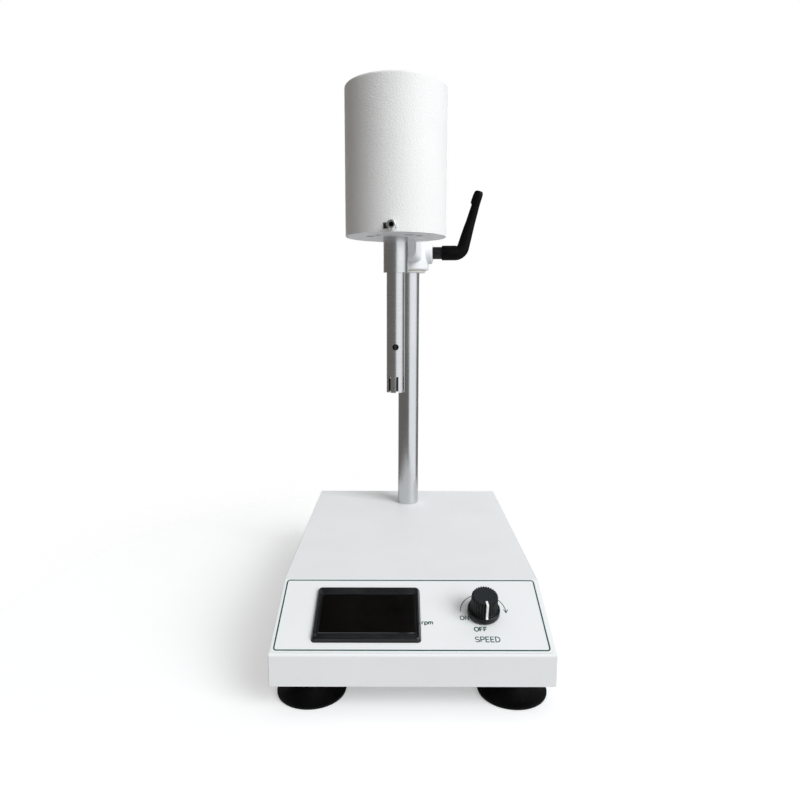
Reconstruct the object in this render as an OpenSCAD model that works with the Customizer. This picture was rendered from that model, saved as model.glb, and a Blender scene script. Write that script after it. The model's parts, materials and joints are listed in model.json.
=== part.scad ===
// Bench homogenizer: a flat base with a sloped control panel, a round column, and a motor head with a
// rotor and stator dispersing tool. The head slides and swings on the column and is held by a clamp lever.
// X runs to the right, Y to the back, Z up, in millimetres. Z = 0 is the bench under the feet.

/* [Base housing] */
// Width of the base
base_w = 200; // [185:1:260]
// Depth of the base, front to back
base_d = 310; // [295:1:380]
// Height of the upright front face
front_h = 23.5; // [20:0.5:40]
// Level run of the sloped control panel
panel_run = 67.5; // [64:0.5:80]
// Rise of the sloped control panel
panel_rise = 25; // [20:0.5:36]
// Sheet thickness of the cover
sheet = 1.5; // [1:0.1:1.6]
// Plate thickness of the pan
pan_t = 2; // [1.5:0.1:4]
// Outside bend radius of the cover
bend_r = 1.8; // [1.7:0.1:6]
// Width of the cover's folded lips
lip_w = 12; // [9:0.5:18]
// Diameter of the cover screws
cover_screw_d = 4; // [3:0.5:6]
// Number of cover screws on each side
cover_screw_n = 3; // [2:1:5]

/* [Feet] */
// Height of the suction feet
foot_h = 20; // [18:0.5:30]
// Rim diameter of a foot
foot_d = 51; // [40:1:60]
// Neck diameter of a foot
foot_neck_d = 22; // [16:1:28]
// Hollow of the suction cup
foot_cup_h = 4; // [2:0.5:5]
// Distance of a foot's rim from the side of the base
foot_side = 0.5; // [0:0.5:20]
// Distance of a foot's rim from the front or the back of the base
foot_end = 3; // [0:0.5:20]
// Diameter of the foot studs
foot_stud_d = 6; // [4:0.5:8]

/* [Column] */
// Diameter of the column
column_d = 22; // [18:0.5:25]
// Height of the column above the base
column_h = 400; // [380:5:500]
// Distance of the column from the back of the base
column_in = 40; // [32:1:55]
// Diameter of the column seat inside the base
seat_d = 48; // [40:1:60]
// Diameter of the column bolt
column_bolt_d = 10; // [8:1:12]

/* [Control panel] */
// Width of the display bezel
bezel_w = 78; // [74:0.2:84]
// Height of the display bezel along the panel
bezel_h = 51.2; // [48:0.2:56]
// Thickness of the display bezel
bezel_t = 3; // [2.8:0.1:5]
// How far the sides of the bezel lean in from its foot to its top
bezel_draft = 1.2; // [0.4:0.1:2]
// Place of the display from the middle of the panel, sideways
display_x = -33; // [-40:0.5:-25]
// Place of the display above the middle of the panel
display_up = 0; // [-2:0.5:3]
// Width of the display window
window_w = 68; // [60:0.5:70]
// Height of the display window along the panel
window_h = 35.5; // [28:0.5:38]
// Thickness of the display window
window_t = 2.3; // [1:0.1:2.4]
// Place of the window above the middle of the bezel
window_up = -1; // [-2:0.5:1]
// Place of the knob from the middle of the panel, sideways
knob_x = 52.8; // [45:0.1:65]
// Place of the knob above the middle of the panel
knob_up = 1.5; // [-3:0.5:6]
// Skirt diameter of the knob
skirt_d = 24; // [22:0.5:30]
// Height of the knob's skirt
skirt_t = 4.6; // [3:0.1:6]
// Top diameter of the knob
knob_top_d = 19.2; // [16:0.2:20]
// Height of the knob
knob_h = 18; // [16:0.5:22]
// Number of grip flutes round the knob
flute_n = 30; // [12:1:40]
// Angle of the pointer from the panel's lower edge
pointer_turn = 6; // [0:1:20]
// Diameter of the potentiometer shaft
pot_shaft_d = 6; // [4:0.5:7]

/* [Rear panel] */
// Distance of the mains inlet from the left side
inlet_side = 42; // [30:1:44]
// Distance of the fuse holder from the left side
fuse_side = 71; // [70:1:73]
// Distance of the motor lead's socket from the right side
lead_side = 45; // [30:1:70]
// Thickness of the flanges on the rear panel
rear_flange_t = 3; // [2:0.5:5]

/* [Electronics] */
// Width of the control board
board_w = 110; // [90:1:130]
// Length of the control board
board_l = 80; // [66:1:100]
// Height of the board's standoffs
standoff_h = 8; // [5:0.5:12]
// Height of the tallest block on the board
choke_h = 14; // [8:0.5:20]
// Diameter of the large capacitor
cap_d = 14; // [8:0.5:16]
// Width of the heat sink
sink_w = 30; // [20:0.5:34]
// Length of the heat sink
sink_l = 34; // [24:0.5:40]
// Height of the heat sink
sink_h = 14; // [8:0.5:20]
// Number of fins on the heat sink
fin_n = 6; // [4:1:8]

/* [Head] */
// Reach from the column to the motor's axis
reach = 117; // [110:1:150]
// Angle by which the head is swung to the left
head_swing = 6.5; // [-30:0.5:30]
// Height of the motor's underside above the base
head_gap = 271.5; // [240:0.5:290]
// Height of the clamp's axis below the motor's underside
clamp_drop = 4; // [0:0.5:8]
// Diameter of the clamp sleeve
sleeve_d = 41; // [38:0.5:48]
// Height of the clamp sleeve
sleeve_h = 36; // [33:0.5:50]
// Reach of the lever boss from the column's axis
boss_reach = 24.6; // [24.4:0.2:34]
// Diameter of the lever boss
boss_d = 22; // [16:0.5:30]
// Width of the arm
arm_w = 28; // [20:0.5:34]
// Depth of the arm below the motor's underside
arm_drop = 14; // [8:0.5:18]
// Rounding of the arm's lower edges
arm_edge_r = 5; // [2:0.5:7]
// Rounding of the clamp sleeve's ends
sleeve_edge_r = 2.5; // [1:0.5:3]
// Rounding of the lever boss's end
boss_edge_r = 1.5; // [0.5:0.5:3]
// Thickness of the motor plate
plate_t = 12; // [11:0.5:16]
// Wall of the guide bushes
bush_t = 2.5; // [1.5:0.1:3.5]
// Length of a guide bush in the sleeve
bush_l = 12; // [8:0.5:13.5]
// Thickness of a guide bush's flange
bush_flange_t = 2; // [1:0.5:4]

/* [Motor] */
// Diameter of the motor cover
can_d = 86; // [84:0.5:110]
// Height of the motor cover
can_h = 121; // [112:1:150]
// Wall of the motor cover
can_wall = 1.5; // [1:0.1:1.7]
// Rounding of the motor cover's top edge
can_edge_r = 2; // [1.8:0.1:8]
// Diameter of the stator
stator_d = 72; // [70:0.5:78]
// Bore of the stator
stator_bore = 38; // [34:0.5:40]
// Height of the stator
stator_h = 40; // [30:0.5:44]
// Diameter of the shaft of the motor
motor_shaft_d = 8; // [6:0.5:9]
// Outside diameter of the ball bearings
bearing_d = 22; // [19:0.5:24]
// Width of the ball bearings
bearing_t = 7; // [5:0.5:8]
// Diameter of the cooling fan
fan_d = 48; // [36:0.5:50]
// Number of fan blades
fan_n = 9; // [5:1:13]
// Diameter of the commutator
commutator_d = 22; // [18:0.5:26]
// Height of the commutator
commutator_h = 12; // [10:0.5:16]

/* [Dispersing tool] */
// Diameter of the collar
collar_d = 21.5; // [19.5:0.5:26]
// Length of the collar below the motor
collar_l = 30; // [28:0.5:50]
// Diameter of the outer tube
tube_d = 16; // [15:0.5:16.5]
// Wall of the outer tube
tube_wall = 1.5; // [1:0.1:2]
// Length of the tool below the motor
tool_l = 134; // [110:0.5:160]
// Number of slots at the end of the outer tube
slot_n = 7; // [4:1:10]
// Width of a slot
slot_w = 2; // [1:0.1:3]
// Height of a slot
slot_h = 14; // [8:0.5:20]
// Turn of the slots round the tube
slot_turn = 18; // [0:1:51]
// Diameter of the round hole in the tube
vent_d = 5.5; // [3:0.5:8]
// Height of the round hole above the tool's tip
vent_up = 40; // [34:0.5:60]
// Diameter of the tool's shaft
tool_shaft_d = 8; // [6:0.5:9]
// Height of the rotor
rotor_h = 14; // [8:0.5:16]
// Number of rotor blades
rotor_n = 4; // [2:1:6]
// Diameter of the drive coupling
coupling_d = 12; // [11.5:0.1:13]
// Length of the drive coupling
coupling_l = 20; // [12:0.5:22]

/* [Locking screw] */
// Diameter of the tool locking screw
lock_d = 4; // [3:0.5:4]
// Head diameter of the locking screw
lock_head_d = 7.6; // [7:0.1:10]
// Height of the locking screw's head
lock_head_t = 6; // [4:0.5:9]
// Height of the locking screw above the motor's underside
lock_up = 5; // [4.2:0.1:7]
// Turn of the locking screw from the front of the head
lock_turn = 2.5; // [0:0.5:4]
// Length of the slot round the locking screw
lock_slot_l = 11; // [10:0.5:20]
// Height of the slot round the locking screw
lock_slot_h = 4.8; // [4.8:0.1:6]
// How far the middle of the slot lies below the screw
lock_slot_drop = 0.3; // [0:0.1:0.3]
// Depth of the pocket behind the slot
lock_pocket = 14; // [6:0.5:20]

/* [Clamp lever] */
// Height of the lever's tip above its axis
lever_l = 62; // [45:1:90]
// Lean of the lever away from the head
lever_lean = 16.5; // [5:0.5:25]
// Diameter of the lever's hub
hub_d = 15; // [14:0.5:20]
// Thickness of the lever's grip
grip_d = 9.2; // [7:0.2:12]
// Diameter of the clamp stud
stud_d = 8; // [6:0.5:8.5]
// Length of the stud's collar outside the boss
stud_collar_l = 9; // [5:0.5:14]
// Travel of the lever when it is pulled out
lever_lift = 5; // [3:0.5:5.5]

/* [Fits] */
// Radial clearance of parts that turn or slide on each other
run_gap = 0.05; // [0.03:0.01:0.1]
// Clearance of parts that are set in by hand
seat_gap = 0.2; // [0.1:0.05:0.3]

/* [Hidden] */

// Facets of round faces and of rounded outlines
$fn = 96;
arc_n = 6;
// How far a cutting body runs past the face that it cuts
past = 1;

// Levels and places of the base
top_z = foot_h + front_h + panel_rise;
pan_z = foot_h + pan_t;
under_z = top_z - sheet;
front_y = -(base_d + rear_flange_t) / 2;
rear_y = front_y + base_d;
rear_mid_z = (pan_z + under_z) / 2;
panel_tilt = atan2(panel_rise, panel_run);
panel_l = norm([panel_run, panel_rise]);
column_y = rear_y - column_in;
column_top = top_z + column_h;
inner_x = base_w / 2 - sheet;
inlet_x = inlet_side - base_w / 2;
fuse_x = fuse_side - base_w / 2;
lead_x = base_w / 2 - lead_side;

// Barrel diameter of the two lead sockets
lead_d = 16;

// Levels of the head, measured from the motor's underside
plate_z = top_z + head_gap;
clamp_z = plate_z - clamp_drop;
can_r = can_d / 2;
plate_r = can_r - can_wall - seat_gap;
bearing_shoulder = 3;
boss_top = plate_t + bearing_shoulder + bearing_t + 2;
fan_z = boss_top + 1.5;
fan_t = 7;
stator_z = fan_z + fan_t + 2;
stator_top = stator_z + stator_h;
commutator_z = stator_top + 4;
bracket_z = commutator_z + commutator_h + 2;
bracket_t = 6;
bracket_boss = bearing_t + bearing_shoulder;
shaft_top = bracket_z + bracket_boss + 2;
head_socket_up = stator_z - (lead_d + 4) / 2;
bolt_ring_r = (stator_d - 10) / 2;
bolt_d = 4;
pillar_d = 9;

// Levels of the dispersing tool
tube_r = tube_d / 2;
tube_bore_r = tube_r - tube_wall;
tube_in = 12;
tool_bush_l = 4;
tip_gap = 0.6;
rotor_gap = 0.3;
rotor_z = tip_gap - tool_l;
rotor_r = tube_bore_r - rotor_gap;
rotor_stud_d = 4;
rotor_stud_l = 8;
chamber_z = tube_in + tool_bush_l - collar_l;
chamber_r = coupling_d / 2 + 0.8;

// Clamp lever, measured along its axis from the column's axis
column_r = column_d / 2;
pad_t = 3;
stud_z = column_r + run_gap + pad_t;
collar_z = boss_reach + seat_gap;
spline_z = collar_z + stud_collar_l;
spline_l = 4.5;
hub_z = spline_z + seat_gap;
spring_z = hub_z + spline_l + 4;
spring_l = lever_lift + 4;
screw_head_z = spring_z + spring_l;
screw_head_t = 3;
elbow_z = screw_head_z + screw_head_t;
spring_bore = hub_d - 5.8;

// Names for the parts' colours
white = "#f0f1f1";
black = "#161617";
steel = "#c9ccd0";
dark_steel = "#7d8288";
brass = "#c8a24a";
copper = "#b5683a";
board_green = "#1f5a38";

// Points of an arc round a centre, from one angle to another
function arc(centre, r, a0, a1, n = arc_n) =
    [for (i = [0:n]) centre + r * [cos(a0 + (a1 - a0) * i / n), sin(a0 + (a1 - a0) * i / n)]];

// Unit vector along v
function unit(v) = v / norm(v);

// Points that round the corner b between a and c
function corner_arc(a, b, c, r) = let (
    u = unit(a - b),
    v = unit(c - b),
    half = acos(u * v) / 2,
    centre = b + unit(u + v) * r / sin(half),
    s = b + u * r / tan(half) - centre,
    e = b + v * r / tan(half) - centre,
    a0 = atan2(s[1], s[0]),
    turn = atan2(s[0] * e[1] - s[1] * e[0], s * e)
) arc(centre, r, a0, a0 + turn);

// Outline of a rectangle with round corners, centred
function round_rect(w, h, r) = concat(
    arc([w / 2 - r, h / 2 - r], r, 0, 90),
    arc([r - w / 2, h / 2 - r], r, 90, 180),
    arc([r - w / 2, r - h / 2], r, 180, 270),
    arc([w / 2 - r, r - h / 2], r, 270, 360));

// Side outline of the base, taken in by t and run on by ext at the back and the bottom
function side_outline(t, r, ext) = let (
    drop = t / cos(panel_tilt),
    slope = tan(panel_tilt),
    a = [front_y + t, foot_h - ext],
    b = [front_y + t, foot_h + front_h + t * slope - drop],
    c = [front_y + (panel_rise - t + drop) / slope, top_z - t],
    d = [rear_y + ext, top_z - t],
    e = [rear_y + ext, foot_h - ext]
) concat([a], corner_arc(a, b, c, r), corner_arc(b, c, d, r), [d, e]);

// Plan outline of the base, taken in by t and run on by ext at the back
function plan_outline(t, r, ext) = let (
    x = base_w / 2 - t,
    a = [-x, rear_y + ext],
    b = [-x, front_y + t],
    c = [x, front_y + t],
    d = [x, rear_y + ext]
) concat([a], corner_arc(a, b, c, r), corner_arc(b, c, d, r), [d]);

// Frames: on the sloped panel, on the knob's axis, on the head and on the lever's axis
module on_panel() {
    translate([0, front_y, foot_h + front_h]) rotate([panel_tilt, 0, 0]) translate([0, panel_l / 2, 0])
        children();
}

module on_display() {
    on_panel() translate([display_x, display_up, 0]) children();
}

module on_window() {
    on_display() translate([0, window_up, 0]) children();
}

module on_knob() {
    on_panel() translate([knob_x, knob_up, 0]) children();
}

module on_head() {
    translate([0, column_y, plate_z]) rotate([0, 0, -head_swing]) translate([0, -reach, 0]) children();
}

module on_lever() {
    translate([0, column_y, clamp_z]) rotate([0, 0, -head_swing]) rotate([0, 90, 0]) children();
}

// Along a radius of the head, turned from its front, at a height above the motor's underside
module radial(turn, up) {
    rotate([0, 0, turn]) translate([0, 0, up]) rotate([90, 0, 0]) children();
}

// On the rear panel, with the body's depth running into the base
module on_rear(x, out) {
    translate([x, rear_y + out, rear_mid_z]) rotate([90, 0, 0]) children();
}

module ring(d, bore, h) {
    difference() {
        cylinder(d = d, h = h);
        translate([0, 0, -past]) cylinder(d = bore, h = h + 2 * past);
    }
}

module hex_nut(across, bore, h) {
    difference() {
        cylinder(d = across / cos(30), h = h, $fn = 6);
        translate([0, 0, -past]) cylinder(d = bore, h = h + 2 * past);
    }
}

// Places of repeated pieces
module at_feet() {
    foot_x = base_w / 2 - foot_side - foot_d / 2;
    foot_y = foot_end + foot_d / 2;
    for (x = [-foot_x, foot_x], y = [front_y + foot_y, rear_y - foot_y]) translate([x, y, 0]) children();
}

cover_screw_end = 62;
module at_cover_screws() {
    step = (base_d - 2 * cover_screw_end) / (cover_screw_n - 1);
    for (s = [-1, 1], i = [0:cover_screw_n - 1])
        translate([s * (inner_x - lip_w / 2), front_y + cover_screw_end + i * step, 0]) children();
}

board_t = 1.6;
board_x = -base_w / 10;
board_y = 0;
standoff_d = 6;
board_z = pan_z + standoff_h;
module at_standoffs() {
    edge = 6;
    for (x = [-1, 1], y = [-1, 1])
        translate([board_x + x * (board_w / 2 - edge), board_y + y * (board_l / 2 - edge), 0]) children();
}

module at_motor_bolts() {
    for (i = [0:3]) rotate([0, 0, 45 + 90 * i]) translate([bolt_ring_r, 0, 0]) children();
}

housing_screw_turns = [-120, 120];
housing_screw_d = 4;
housing_screw_up = 6;
housing_screw_l = 8;

// Base

module cover_block(t, r, ext) {
    intersection() {
        rotate([90, 0, 90]) linear_extrude(base_w, center = true) polygon(side_outline(t, r, ext));
        translate([0, 0, foot_h - ext]) linear_extrude(top_z - foot_h + ext + past)
            polygon(plan_outline(t, r, ext));
    }
}

pot_bush_d = pot_shaft_d + 3;
sleeve_wall = 1.5;
display_sleeve_w = window_w + 2 + 2 * sleeve_wall;
display_sleeve_h = window_h + 2 + 2 * sleeve_wall;
display_sleeve_l = 14;

module base_cover() color(white) {
    difference() {
        cover_block(0, bend_r, 0);
        cover_block(sheet, bend_r - sheet, past);
        translate([0, column_y, under_z - past])
            cylinder(d = column_d + 2 * seat_gap, h = sheet + 2 * past);
        on_window() cube([display_sleeve_w + 2 * seat_gap, display_sleeve_h + 2 * seat_gap, 8 * sheet],
            center = true);
        on_knob() cylinder(d = pot_bush_d + 2 * seat_gap, h = 8 * sheet, center = true);
    }
    lip_y = front_y + bend_r + past;
    difference() {
        for (s = [-1, 1])
            translate([s * (inner_x - lip_w / 2 + sheet / 4), 0, pan_z + sheet / 2])
                translate([0, (lip_y + rear_y - pan_t - past) / 2, 0])
                    cube([lip_w + sheet / 2, rear_y - pan_t - past - lip_y, sheet], center = true);
        at_cover_screws() translate([0, 0, pan_z - past])
            cylinder(d = cover_screw_d, h = sheet + 2 * past);
    }
}

inlet_w = 27.4;
inlet_h = 20;
inlet_l = 26;
fuse_d = 13;

module base_pan() color(white) difference() {
    inset = sheet + seat_gap;
    union() {
        translate([0, 0, foot_h]) linear_extrude(pan_t)
            polygon(plan_outline(inset, bend_r - sheet, 0));
        translate([-base_w / 2 + inset, rear_y - pan_t, foot_h])
            cube([base_w - 2 * inset, pan_t, under_z - seat_gap - foot_h]);
    }
    at_feet() translate([0, 0, foot_h - past]) cylinder(d = foot_stud_d, h = pan_t + 2 * past);
    at_cover_screws() translate([0, 0, foot_h - past]) cylinder(d = cover_screw_d, h = pan_t + 2 * past);
    translate([0, column_y, foot_h - past]) cylinder(d = column_bolt_d, h = pan_t + 2 * past);
    on_rear(inlet_x, past) linear_extrude(pan_t + 2 * past)
        square([inlet_w + 2 * seat_gap, inlet_h + 2 * seat_gap], center = true);
    on_rear(lead_x, past) cylinder(d = lead_d + 2 * seat_gap, h = pan_t + 2 * past);
    on_rear(fuse_x, past) cylinder(d = fuse_d + 2 * seat_gap, h = pan_t + 2 * past);
}

module cover_screws() color(steel) {
    head_t = 2.2;
    at_cover_screws() translate([0, 0, foot_h]) {
        translate([0, 0, -head_t]) cylinder(d = 1.8 * cover_screw_d, h = head_t);
        cylinder(d = cover_screw_d - 2 * run_gap, h = pan_t + sheet + 2);
    }
}

foot_rim_t = 2;
foot_rim_w = 3;
foot_neck_h = 5;
foot_stud_in = 10;

module suction_feet() color(black) {
    n = 12;
    rim_r = foot_d / 2;
    neck_r = foot_neck_d / 2;
    cup_r = rim_r - foot_rim_w;
    bell_h = foot_h - foot_neck_h - foot_rim_t;
    hole_r = foot_stud_d / 2;
    bell = [for (i = [0:n]) let (a = 90 * i / n)
        [neck_r + (rim_r - neck_r) * (1 - sin(a)), foot_rim_t + bell_h * (1 - cos(a))]];
    cup = [for (i = [0:n]) let (a = 90 - 90 * i / n) [cup_r * cos(a), foot_cup_h * sin(a)]];
    at_feet() rotate_extrude() polygon(concat([[rim_r, 0]], bell, [
        [neck_r, foot_h],
        [hole_r, foot_h],
        [hole_r, foot_h - foot_stud_in],
        [0, foot_h - foot_stud_in]
    ], cup));
}

foot_nut_t = 5;
module foot_studs() color(steel) at_feet() translate([0, 0, foot_h - foot_stud_in])
    cylinder(d = foot_stud_d - 2 * run_gap, h = foot_stud_in + pan_t + foot_nut_t + 1);

module foot_nuts() color(steel) at_feet() translate([0, 0, pan_z])
    hex_nut(1.6 * foot_stud_d, foot_stud_d, foot_nut_t);

column_bolt_in = 25;
column_chamfer = 1.5;
module column() color(steel) translate([0, column_y, 0]) difference() {
    union() {
        translate([0, 0, pan_z]) cylinder(d = column_d, h = column_top - column_chamfer - pan_z);
        translate([0, 0, column_top - column_chamfer])
            cylinder(d1 = column_d, d2 = column_d - 2 * column_chamfer, h = column_chamfer);
    }
    translate([0, 0, pan_z - past]) cylinder(d = column_bolt_d, h = column_bolt_in + past);
}

module column_seat() color(dark_steel) translate([0, column_y, pan_z])
    ring(seat_d, column_d + 2 * run_gap, under_z - seat_gap - pan_z);

module column_bolt() color(steel) translate([0, column_y, foot_h]) {
    head_t = 0.64 * column_bolt_d;
    translate([0, 0, -head_t]) cylinder(d = 1.7 * column_bolt_d / cos(30), h = head_t, $fn = 6);
    cylinder(d = column_bolt_d - 2 * run_gap, h = pan_t + column_bolt_in - 2);
}

// Display

// Side view of the bezel for a width w at its foot, run past its foot and its top
function draft_outline(w) = let (
    lean = bezel_draft / bezel_t,
    foot = w / 2 + lean * past,
    top = w / 2 - lean * (bezel_t + past)
) [[-foot, -past], [foot, -past], [top, bezel_t + past], [-top, bezel_t + past]];

// Frame with leaning sides and round corners
module bezel_block() {
    intersection() {
        linear_extrude(bezel_t) polygon(round_rect(bezel_w, bezel_h, 2.5));
        rotate([90, 0, 90]) linear_extrude(bezel_w + 2 * past, center = true) polygon(draft_outline(bezel_h));
        rotate([90, 0, 0]) linear_extrude(bezel_h + 2 * past, center = true) polygon(draft_outline(bezel_w));
    }
}

window_edge = 1;
module display_bezel() color(black) difference() {
    union() {
        on_display() bezel_block();
        on_window() translate([0, 0, -display_sleeve_l]) linear_extrude(display_sleeve_l + past)
            square([display_sleeve_w, display_sleeve_h], center = true);
    }
    on_window() translate([0, 0, -display_sleeve_l - past]) linear_extrude(display_sleeve_l + past + window_t)
        square([window_w + 2 * window_edge, window_h + 2 * window_edge], center = true);
    on_window() linear_extrude(bezel_t + past) polygon(round_rect(window_w, window_h, 1));
}

module display_window() color("#0b0c10") on_window() linear_extrude(window_t)
    square([window_w + 2 * window_edge - 2 * run_gap, window_h + 2 * window_edge - 2 * run_gap], center = true);

display_board_z = 4 - display_sleeve_l;
module display_board() color(board_green) on_window() translate([0, 0, display_board_z - board_t])
    linear_extrude(board_t)
        square([window_w + 2 * window_edge - 2 * seat_gap, window_h + 2 * window_edge - 2 * seat_gap],
            center = true);

digit_n = 4;
module digit_blocks() color("#2a1010") on_window() {
    pitch = window_w / (digit_n + 0.5);
    for (i = [0:digit_n - 1])
        translate([(i - (digit_n - 1) / 2) * pitch, 0, display_board_z])
            linear_extrude(-display_board_z - seat_gap) square([pitch - 1, window_h - 8], center = true);
}

// Speed knob and potentiometer

knob_gap = 0.8;
cap_in = 1.9;
knob_hollow_h = 5;
pot_bush_h = knob_gap + knob_hollow_h - 0.8;
pot_nut_t = 2.4;
pot_d = 24;
pot_l = 13;
pot_shaft_in = 9;
shaft_flat = pot_shaft_d / 4;
shaft_end = knob_h - 3;

// Turned outline of the knob, grown by g: a skirt with a round shoulder and a tapered cap
module knob_form(g) {
    r0 = skirt_d / 2 + g;
    r1 = skirt_d / 2 - cap_in + g;
    r2 = knob_top_d / 2 + g;
    edge = 0.8;
    h = knob_h + g;
    rotate_extrude() polygon(concat(
        [[0, knob_gap], [r0 - edge, knob_gap]],
        arc([r0 - edge, knob_gap + edge], edge, -90, 0),
        arc([r0 - edge - 0.6, skirt_t + g], edge + 0.6, 0, 72),
        [[r1, skirt_t + edge + 0.6 + g]],
        arc([r2 - edge, h - edge], edge, 4, 90),
        [[0, h]]));
}

// Slab along the pointer, from near the knob's middle out over its front
module pointer_slab() {
    w = 1.2;
    inner = 3.6;
    rotate([0, 0, pointer_turn]) translate([-w / 2, -skirt_d, skirt_t + 1.4])
        cube([w, skirt_d - inner, knob_h]);
}

flute_w = 1.2;
flute_in = cap_in - 0.1;
module speed_knob() color(black) on_knob() difference() {
    knob_form(0);
    taper = atan2((skirt_d - knob_top_d) / 2 - cap_in, knob_h - skirt_t);
    for (i = [0:flute_n - 1]) rotate([0, 0, 360 * (i + 0.5) / flute_n])
        translate([0, flute_in - skirt_d / 2, skirt_t + 1.6]) rotate([-taper, 0, 0]) rotate([0, 0, 45])
            translate([-flute_w / 2, -flute_w / 2, 0]) cube([flute_w, flute_w, 2 * knob_h]);
    difference() {
        pointer_slab();
        knob_form(-0.6);
    }
    translate([0, 0, -past]) cylinder(d = skirt_d - 6, h = knob_gap + knob_hollow_h + past);
    translate([0, 0, knob_gap]) difference() {
        cylinder(d = pot_shaft_d + 2 * run_gap, h = shaft_end - knob_gap + seat_gap);
        translate([-pot_shaft_d, pot_shaft_d / 2 - shaft_flat + run_gap, knob_hollow_h])
            cube([2 * pot_shaft_d, pot_shaft_d, knob_h]);
    }
}

module knob_pointer() color("white") on_knob() difference() {
    intersection() {
        knob_form(0.15);
        pointer_slab();
    }
    knob_form(-0.6);
}

module pot_shaft() color(steel) on_knob() difference() {
    translate([0, 0, -pot_shaft_in]) cylinder(d = pot_shaft_d, h = shaft_end + pot_shaft_in);
    translate([-pot_shaft_d, pot_shaft_d / 2 - shaft_flat, knob_gap + knob_hollow_h])
        cube([2 * pot_shaft_d, pot_shaft_d, knob_h]);
}

module pot_body() color(dark_steel) on_knob() difference() {
    union() {
        translate([0, 0, -sheet - pot_l]) cylinder(d = pot_d, h = pot_l);
        translate([0, 0, -sheet - past]) cylinder(d = pot_bush_d, h = sheet + past + pot_bush_h);
    }
    translate([0, 0, -pot_shaft_in - seat_gap])
        cylinder(d = pot_shaft_d + 2 * run_gap, h = pot_shaft_in + pot_bush_h + past);
}

module pot_nut() color(steel) on_knob() hex_nut(pot_bush_d + 4, pot_bush_d + 2 * run_gap, pot_nut_t);

// Electronics

module board_standoffs() color(brass) at_standoffs() translate([0, 0, pan_z])
    cylinder(d = standoff_d, h = standoff_h);

module control_board() color(board_green) translate([board_x, board_y, board_z])
    linear_extrude(board_t) polygon(round_rect(board_w, board_l, 2));

// Choke, relay and terminal block, then three capacitors; places and plan sizes are shares of the board
module board_parts() color("#3b3f46") translate([board_x, board_y, board_z + board_t]) {
    blocks = [[-0.27, -0.2, 0.27, 0.32, 1], [-0.29, 0.22, 0.18, 0.19, 0.86], [0.11, -0.32, 0.4, 0.15, 0.7]];
    for (p = blocks) translate([p[0] * board_w, p[1] * board_l, p[4] * choke_h / 2])
        cube([p[2] * board_w, p[3] * board_l, p[4] * choke_h], center = true);
    for (p = [[-0.04, 0.06, 1], [0.1, -0.1, 0.7], [-0.07, 0.34, 0.7]])
        translate([p[0] * board_w, p[1] * board_l, 0]) cylinder(d = p[2] * cap_d, h = cap_d);
}

module heat_sink() color(steel) translate([board_x + 0.29 * board_w, board_y + 0.17 * board_l, board_z + board_t]) {
    fin_t = sink_w / 19;
    base_t = sink_h / 5;
    linear_extrude(base_t) square([sink_w, sink_l], center = true);
    for (i = [0:fin_n - 1])
        translate([-sink_w / 2 + i * (sink_w - fin_t) / (fin_n - 1), -sink_l / 2, 0]) cube([fin_t, sink_l, sink_h]);
}

// Rear panel

inlet_recess = [24.4, 16.6, 17];
inlet_chamfer = 4;
inlet_pin = [2, 4, 14];
inlet_flange = [33, 25.5];

module mains_inlet() color(black) on_rear(inlet_x, rear_flange_t) difference() {
    union() {
        linear_extrude(rear_flange_t) polygon(round_rect(inlet_flange[0], inlet_flange[1], 2.5));
        linear_extrude(inlet_l) square([inlet_w, inlet_h], center = true);
    }
    x = inlet_recess[0] / 2;
    y = inlet_recess[1] / 2;
    translate([0, 0, -past]) linear_extrude(inlet_recess[2] + past)
        polygon([[-x, -y], [x, -y], [x, y - inlet_chamfer], [x - inlet_chamfer, y],
            [inlet_chamfer - x, y], [-x, y - inlet_chamfer]]);
}

module inlet_pins() color(steel) on_rear(inlet_x, rear_flange_t - inlet_recess[2] + inlet_pin[2])
    for (p = [[-7, -2], [0, 2], [7, -2]])
        translate([p[0], p[1], inlet_pin[2] / 2]) cube(inlet_pin, center = true);

fuse_l = 20;
fuse_cap_d = 11;
fuse_cap_l = 12;
module fuse_holder() color(black) on_rear(fuse_x, rear_flange_t) difference() {
    union() {
        cylinder(d = fuse_d + 5, h = rear_flange_t);
        cylinder(d = fuse_d, h = fuse_l);
    }
    translate([0, 0, -past]) cylinder(d = fuse_cap_d, h = fuse_cap_l + past);
}

// Screw cap with a driver slot
module fuse_cap() color("#232325") on_rear(fuse_x, rear_flange_t) difference() {
    cylinder(d = fuse_cap_d - 2 * run_gap, h = fuse_cap_l);
    cube([fuse_cap_d + past, 1.6, 3], center = true);
}

pin_hole_n = 4;
// Round socket for the motor's lead: flange, barrel, contact face and ring nut behind the wall
module round_socket(wall, depth, nut, saddle) {
    nut_t = 3;
    difference() {
        union() {
            cylinder(d = lead_d, h = depth);
            translate([0, 0, rear_flange_t + wall]) cylinder(d = nut, h = nut_t);
            difference() {
                cylinder(d = lead_d + 6, h = rear_flange_t + saddle);
                if (saddle > 0) translate([0, 0, rear_flange_t + can_r]) rotate([90, 0, 0])
                    cylinder(r = can_r, h = 2 * lead_d, center = true);
            }
        }
        translate([0, 0, -past]) cylinder(d = lead_d - 4, h = 2 + past);
        for (i = [0:pin_hole_n - 1]) rotate([0, 0, 45 + 360 * i / pin_hole_n])
            translate([lead_d / 5, 0, 0]) cylinder(d = 1.8, h = depth / 2, $fn = 24);
    }
}

module lead_socket() color(dark_steel) on_rear(lead_x, rear_flange_t)
    round_socket(pan_t, 16, lead_d + 5, 0);

// Head: support arm, guide bushes and clamp

bush_d = column_d + 2 * bush_t;
bush_flange_d = bush_d + 7;
sleeve_top = clamp_z + sleeve_h / 2;
sleeve_low = clamp_z - sleeve_h / 2;

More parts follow.
